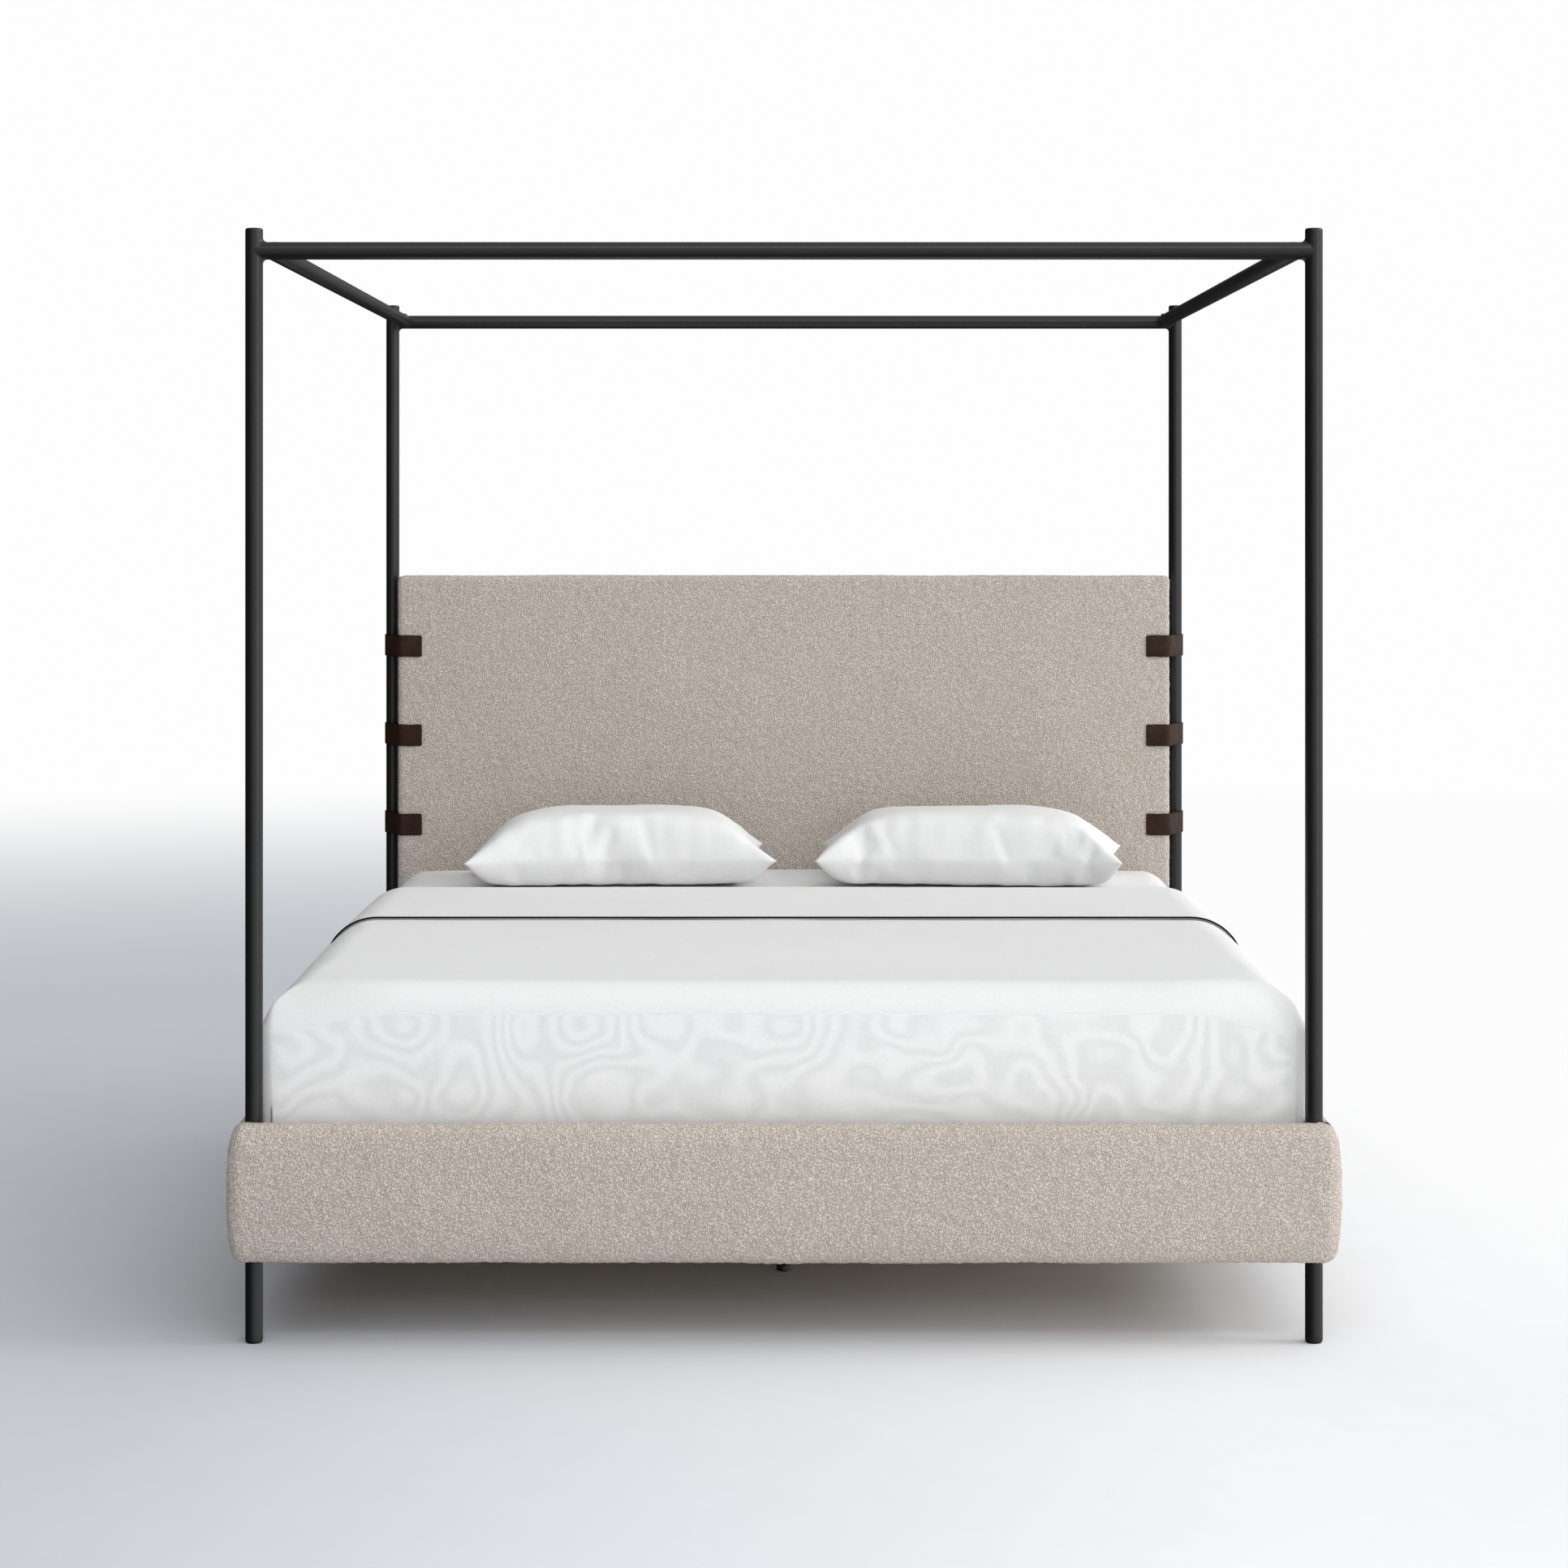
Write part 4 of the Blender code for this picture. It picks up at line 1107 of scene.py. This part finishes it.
def pillow_mesh(width, depth, across, deep):
    """Two flat layers sewn round their edge, as a pillowcase is cut, in the plane z = 0."""
    xs, ys = np.linspace(-width / 2, width / 2, across + 1), np.linspace(-depth / 2, depth / 2, deep + 1)
    gx, gy = np.meshgrid(xs, ys, indexing="ij")
    u, v = gx / (width / 2), gy / (depth / 2)
    rise = 0.012 * ((1 - u**2) * (1 - v**2)) ** 0.35
    top = np.stack([gx, gy, rise], -1).reshape(-1, 3)
    low = np.stack([gx, gy, -rise], -1).reshape(-1, 3)
    faces = grid(across + 1, deep + 1)
    rim = np.zeros((across + 1, deep + 1), bool)
    rim[[0, -1], :] = True
    rim[:, [0, -1]] = True
    rim = rim.ravel()
    index = np.where(rim, np.arange(len(top)), 0)
    inner = np.where(~rim)[0]
    index[inner] = len(top) + np.arange(len(inner))
    points = np.concatenate([top, low[inner]])
    return points, np.concatenate([faces, index[faces][:, ::-1]]), rim


def inflate(obj, frames, pressure):
    """Runs the cloth simulation with air pressure inside and no gravity, and applies its result."""
    bpy.context.view_layer.objects.active = obj
    modifier = obj.modifiers.new("puff", "CLOTH")
    settings = modifier.settings
    settings.quality = 6
    settings.mass = 0.25
    settings.tension_stiffness = 22
    settings.compression_stiffness = 22
    settings.shear_stiffness = 6
    settings.bending_stiffness = 3.0
    settings.tension_damping = 18
    settings.compression_damping = 18
    settings.air_damping = 4
    settings.use_pressure = True
    settings.uniform_pressure_force = pressure
    settings.effector_weights.gravity = 0
    modifier.collision_settings.use_self_collision = False
    modifier.point_cache.frame_start = 1
    modifier.point_cache.frame_end = frames
    scene = bpy.context.scene
    for number in range(1, frames + 1):
        scene.frame_set(number)
    graph = bpy.context.evaluated_depsgraph_get()
    shaped = obj.evaluated_get(graph).to_mesh()
    out = np.empty(len(shaped.vertices) * 3, np.float32)
    shaped.vertices.foreach_get("co", out)
    obj.evaluated_get(graph).to_mesh_clear()
    obj.modifiers.remove(modifier)
    scene.frame_set(1)
    return out.reshape(-1, 3).astype(float)


def relaxed(points, faces, fixed, rounds):
    """The same surface with its small creases smoothed away; the fixed points stay."""
    edges = np.concatenate([faces[:, [0, 1]], faces[:, [1, 2]], faces[:, [2, 3]], faces[:, [3, 0]]])
    a, b = np.concatenate([edges[:, 0], edges[:, 1]]), np.concatenate([edges[:, 1], edges[:, 0]])
    count = np.bincount(a, minlength=len(points))[:, None]
    for _ in range(rounds):
        total = np.stack([np.bincount(a, points[b, k], len(points)) for k in range(3)], 1)
        points = np.where(fixed[:, None], points, points * 0.4 + total / count * 0.6)
    return points


def slope_to_seam(u, v, rise_u, rise_v, blend):
    """0 on the seam, 1 in the middle: the softened least of two slopes and the full height."""
    parts = np.stack([(1 - np.abs(u)) * rise_u, (1 - np.abs(v)) * rise_v, np.ones(len(u))])
    return (np.maximum(parts, 1e-6) ** -blend).sum(0) ** (-1 / blend)


def pillow(side, seed, droop):
    """A filled pillow in a plain case, seam at mid height, flat where it lies. droop lowers a rear corner."""
    low, high = (np.array(v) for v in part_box(f"pillow_{side}"))
    centre = (low + high) / 2 + np.array([-0.016 if side == "left" else 0.013, 0, 0])
    yaw = math.radians(4.0 if side == "left" else -4.0)
    points, faces, rim = pillow_mesh(0.80, 0.56, 74, 48)
    made = piece(f"soft_pillow_{side}", points, faces, PILLOWCASE, f"pillow_{side}")
    seam = np.concatenate([rim, np.zeros(len(points) - len(rim), bool)])
    u, v = points[:, 0] / 0.40, points[:, 1] / 0.28
    above = points[:, 2] > 0
    outline = np.column_stack([u * (1 - 0.030 * (1 - v**2)), v * (1 - 0.045 * (1 - u**2)), u * 0])
    wrinkle = np.zeros(len(points))
    uneven = points.copy()
    uneven[:, 2] += value_noise(points, 0.07, seed) * 0.004
    move_points(made, uneven)
    puffed = inflate(made, 26, 5.0)
    soft = relaxed(puffed, faces, seam, 3)
    wrinkle = np.clip(soft[:, 2] - relaxed(soft, faces, seam, 60)[:, 2], -0.006, 0.006)
    span = np.abs(puffed).max(0)
    outline = outline * 0.5 + np.column_stack([puffed[:, 0] / span[0], puffed[:, 1] / span[1], u * 0]) * 0.5
    crown = slope_to_seam(u, v, 2.75, 3.2, 4.6) * (1 - 0.05 * u**2 - 0.10 * v**2)
    belly = slope_to_seam(u, v, 6.5, 5.5, 4.0)
    z = np.where(above, crown * PILLOW_RISE, -belly * PILLOW_DROP)
    z += wrinkle * 0.35
    gather = value_noise(np.column_stack([points[:, 0], v * 0.03, v * 0]), 0.030, seed + 5)
    gather += value_noise(np.column_stack([points[:, 0], v * 0.05, v * 0]), 0.065, seed + 6)
    lip = np.clip((1 - np.abs(v)) / 0.05, 0, 1) * np.clip((np.abs(v) - 0.35) / 0.5, 0, 1)
    z += gather * lip * (1 - u**8) * np.where(above, 0.0050, 0.0030)
    z += value_noise(points, 0.13, seed + 9) * 0.0030 * crown * above
    z -= droop * np.clip(-u - 0.45, 0, 1) * np.clip(v - 0.1, 0, 1) * 1.9
    shaped = outline * np.array([0.371, 0.222, 0.0])
    x = shaped[:, 0] * math.cos(yaw) - shaped[:, 1] * math.sin(yaw)
    y = shaped[:, 0] * math.sin(yaw) + shaped[:, 1] * math.cos(yaw)
    rest = BED_HIGH.z + 0.0030
    z = np.maximum(z + PILLOW_DROP, -0.0004) + rest
    move_points(made, np.column_stack([centre[0] + x, centre[1] + y, z]))
    crease = made.data.attributes.new("crease_edge", "FLOAT", "EDGE")
    ends = np.empty(len(made.data.edges) * 2, np.int32)
    made.data.edges.foreach_get("vertices", ends)
    crease.data.foreach_set("value", seam[ends].reshape(-1, 2).all(1).astype(np.float32))
    smooth = made.modifiers.new("smooth", "SUBSURF")
    smooth.levels = smooth.render_levels = 1
    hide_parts(f"pillow_{side}")


# ---------------------------------------------------------------- CAD nodes that stay


def keep_node(node, material):
    obj = frame["nodes"][node]
    obj.data.materials.clear()
    obj.data.materials.append(material)


def carried_over():
    for node in frame["nodes"]:
        if node.startswith(("canopy_spigot", "centre_leg", "centre_beam")):
            keep_node(node, COAT)
        elif node.startswith("leveller"):
            keep_node(node, NYLON)
        elif node.startswith("rail_bracket"):
            keep_node(node, ZINC)
        elif node in ("headboard_core", "foot_rail_board"):
            keep_node(node, PLY)
        elif node.endswith("_board"):
            keep_node(node, PLY_LONG)
        elif node.startswith("slat_ledger"):
            keep_node(node, PLY_LONG)
        elif node == "slat_roll":
            keep_node(node, PINE)


# ---------------------------------------------------------------- stage, light and camera


def stage():
    """A pale floor that runs out to white, with white all round. Painted shade darkens and cools it towards the left,
    and painted light makes it glow brighter towards the right.
    """
    mesh = bpy.data.meshes.new("floor")
    size = 60.0
    mesh.from_pydata([(-size, -size, 0), (size, -size, 0), (size, size, 0), (-size, size, 0)], [], [(0, 1, 2, 3)])
    floor = bpy.data.objects.new("floor", mesh)
    bpy.context.scene.collection.objects.link(floor)
    n = Nodes("pale_floor")
    speckle = n.noise(7.0, 4.0, 0.6)
    colour = n.ramp(speckle, [(0.3, (0.81, 0.82, 0.835)), (0.7, (0.825, 0.835, 0.85))])
    # painted shade: a darker, bluer floor colour for the left, where the bed's shadow falls
    shaded_left_floor = n.ramp(speckle, [(0.3, (0.60, 0.622, 0.665)), (0.7, (0.61, 0.632, 0.675))])
    across = n.node("ShaderNodeVectorMath", "Value", {0: n.where, 1: (1.0, 0.0, 0.0)}, operation="DOT_PRODUCT")
    # painted shade: the floor darkens and cools from right to left
    colour = n.mix(n.level(across, -1.15, 0.75), shaded_left_floor, colour)
    set_inputs(n, {"Base Color": colour, "Roughness": 0.9, "Specular IOR Level": 0.15})
    glow = n.tree.nodes.new("ShaderNodeEmission")
    glow.inputs["Color"].default_value = (1, 1, 1, 1)
    glow.inputs["Strength"].default_value = 0.985
    reach = n.node("ShaderNodeVectorMath", "Value", {0: n.where}, operation="LENGTH")
    # painted light: the floor glows brighter towards the right of the bed, a painted pool of light, on top of its
    # white run-out far away
    lean = n.node("ShaderNodeVectorMath", "Value", {0: n.where, 1: (1.0, 0.25, 0.0)}, operation="DOT_PRODUCT")
    smooth = {"interpolation_type": "SMOOTHSTEP"}
    far = n.node("ShaderNodeMapRange", "Result", {"Value": reach, "From Min": 3.8, "From Max": 12.5}, **smooth)
    bright = {"Value": lean, "From Min": 0.85, "From Max": 2.0, "To Max": 0.95}
    near = n.node("ShaderNodeMapRange", "Result", bright, **smooth)
    far = n.math("MAXIMUM", far, near)
    blend = n.tree.nodes.new("ShaderNodeMixShader")
    out = n.tree.nodes["Material Output"]
    n.tree.links.new(far, blend.inputs[0])
    n.tree.links.new(n.shader.outputs[0], blend.inputs[1])
    n.tree.links.new(glow.outputs[0], blend.inputs[2])
    n.tree.links.new(blend.outputs[0], out.inputs["Surface"])
    mesh.materials.append(n.material)
    floor.visible_glossy = False


def world():
    """A white studio: a dome of light, strongest from the right, the front and above; white to the camera."""
    made = bpy.data.worlds.new("studio")
    bpy.context.scene.world = made
    made.use_nodes = True
    tree = made.node_tree
    nodes, link = tree.nodes, tree.links.new
    lean = nodes.new("ShaderNodeVectorMath")
    lean.operation = "DOT_PRODUCT"
    link(nodes.new("ShaderNodeTexCoord").outputs["Generated"], lean.inputs[0])
    lean.inputs[1].default_value = DOME_LEAN
    level = nodes.new("ShaderNodeMath")
    level.operation = "ADD"
    link(lean.outputs["Value"], level.inputs[0])
    level.inputs[1].default_value = DOME_LEVEL
    least = nodes.new("ShaderNodeMath")
    least.operation = "MAXIMUM"
    link(level.outputs[0], least.inputs[0])
    least.inputs[1].default_value = 0.03
    path = nodes.new("ShaderNodeLightPath")
    mirrored = nodes.new("ShaderNodeMapRange")
    link(path.outputs["Is Glossy Ray"], mirrored.inputs["Value"])
    mirrored.inputs["To Min"].default_value = 1.0
    mirrored.inputs["To Max"].default_value = 0.80
    strength = nodes.new("ShaderNodeMath")
    strength.operation = "MULTIPLY"
    link(least.outputs[0], strength.inputs[0])
    link(mirrored.outputs[0], strength.inputs[1])
    dome = nodes["Background"]
    dome.inputs["Color"].default_value = (0.985, 0.99, 1.0, 1)
    link(strength.outputs[0], dome.inputs["Strength"])
    seen = nodes.new("ShaderNodeBackground")
    seen.inputs["Color"].default_value = (1, 1, 1, 1)
    seen.inputs["Strength"].default_value = 0.985
    blend = nodes.new("ShaderNodeMixShader")
    link(path.outputs["Is Camera Ray"], blend.inputs[0])
    link(dome.outputs[0], blend.inputs[1])
    link(seen.outputs[0], blend.inputs[2])
    link(blend.outputs[0], nodes["World Output"].inputs["Surface"])


def lamp(name, at, towards, size, power, colour=(1, 1, 1), glossy=True):
    data = bpy.data.lights.new(name, "AREA")
    data.shape = "RECTANGLE"
    data.size, data.size_y = size
    data.energy = power
    data.color = colour
    obj = bpy.data.objects.new(name, data)
    obj.location = at
    obj.rotation_euler = (Vector(towards) - Vector(at)).to_track_quat("-Z", "Y").to_euler()
    obj.visible_glossy = glossy
    bpy.context.scene.collection.objects.link(obj)
    return obj


def lights():
    lamp("tall_right", (5.2, -5.2, 1.6), (0.0, 0.0, 1.2), (0.35, 3.2), 26.0)
    lamp("strip_above", (0.6, -5.6, 6.0), (0.0, 0.0, 1.4), (5.0, 0.45), 46.0)
    lamp("key_right", (12.0, -1.6, 7.0), (0.0, 0.0, 0.4), (4.6, 4.6), 500.0)
    lamp("low_front", (0.9, -4.6, 1.3), (0.0, -1.0, 0.4), (2.6, 1.2), 19.0, glossy=False)


def camera():
    data = bpy.data.cameras.new("camera")
    data.sensor_width = 36.0
    data.lens = 75.28
    data.shift_x = 0.0
    data.shift_y = -0.1661
    data.clip_end = 200.0
    obj = bpy.data.objects.new("camera", data)
    obj.location = (0.0, -7.184, 1.528)
    obj.rotation_euler = (math.pi / 2, 0, 0)
    bpy.context.scene.collection.objects.link(obj)
    bpy.context.scene.camera = obj


camera()
stage()
world()
lights()
bpy.context.scene.view_settings.view_transform = "Standard"
tube_frame()
fasteners()
foot_rail()
side_rails()
headboard()
straps()
fitted = mattress()
flat = coverlet()
folded_band()
pillow("left", 3, 0.045)
pillow("right", 7, 0.0)
carried_over()
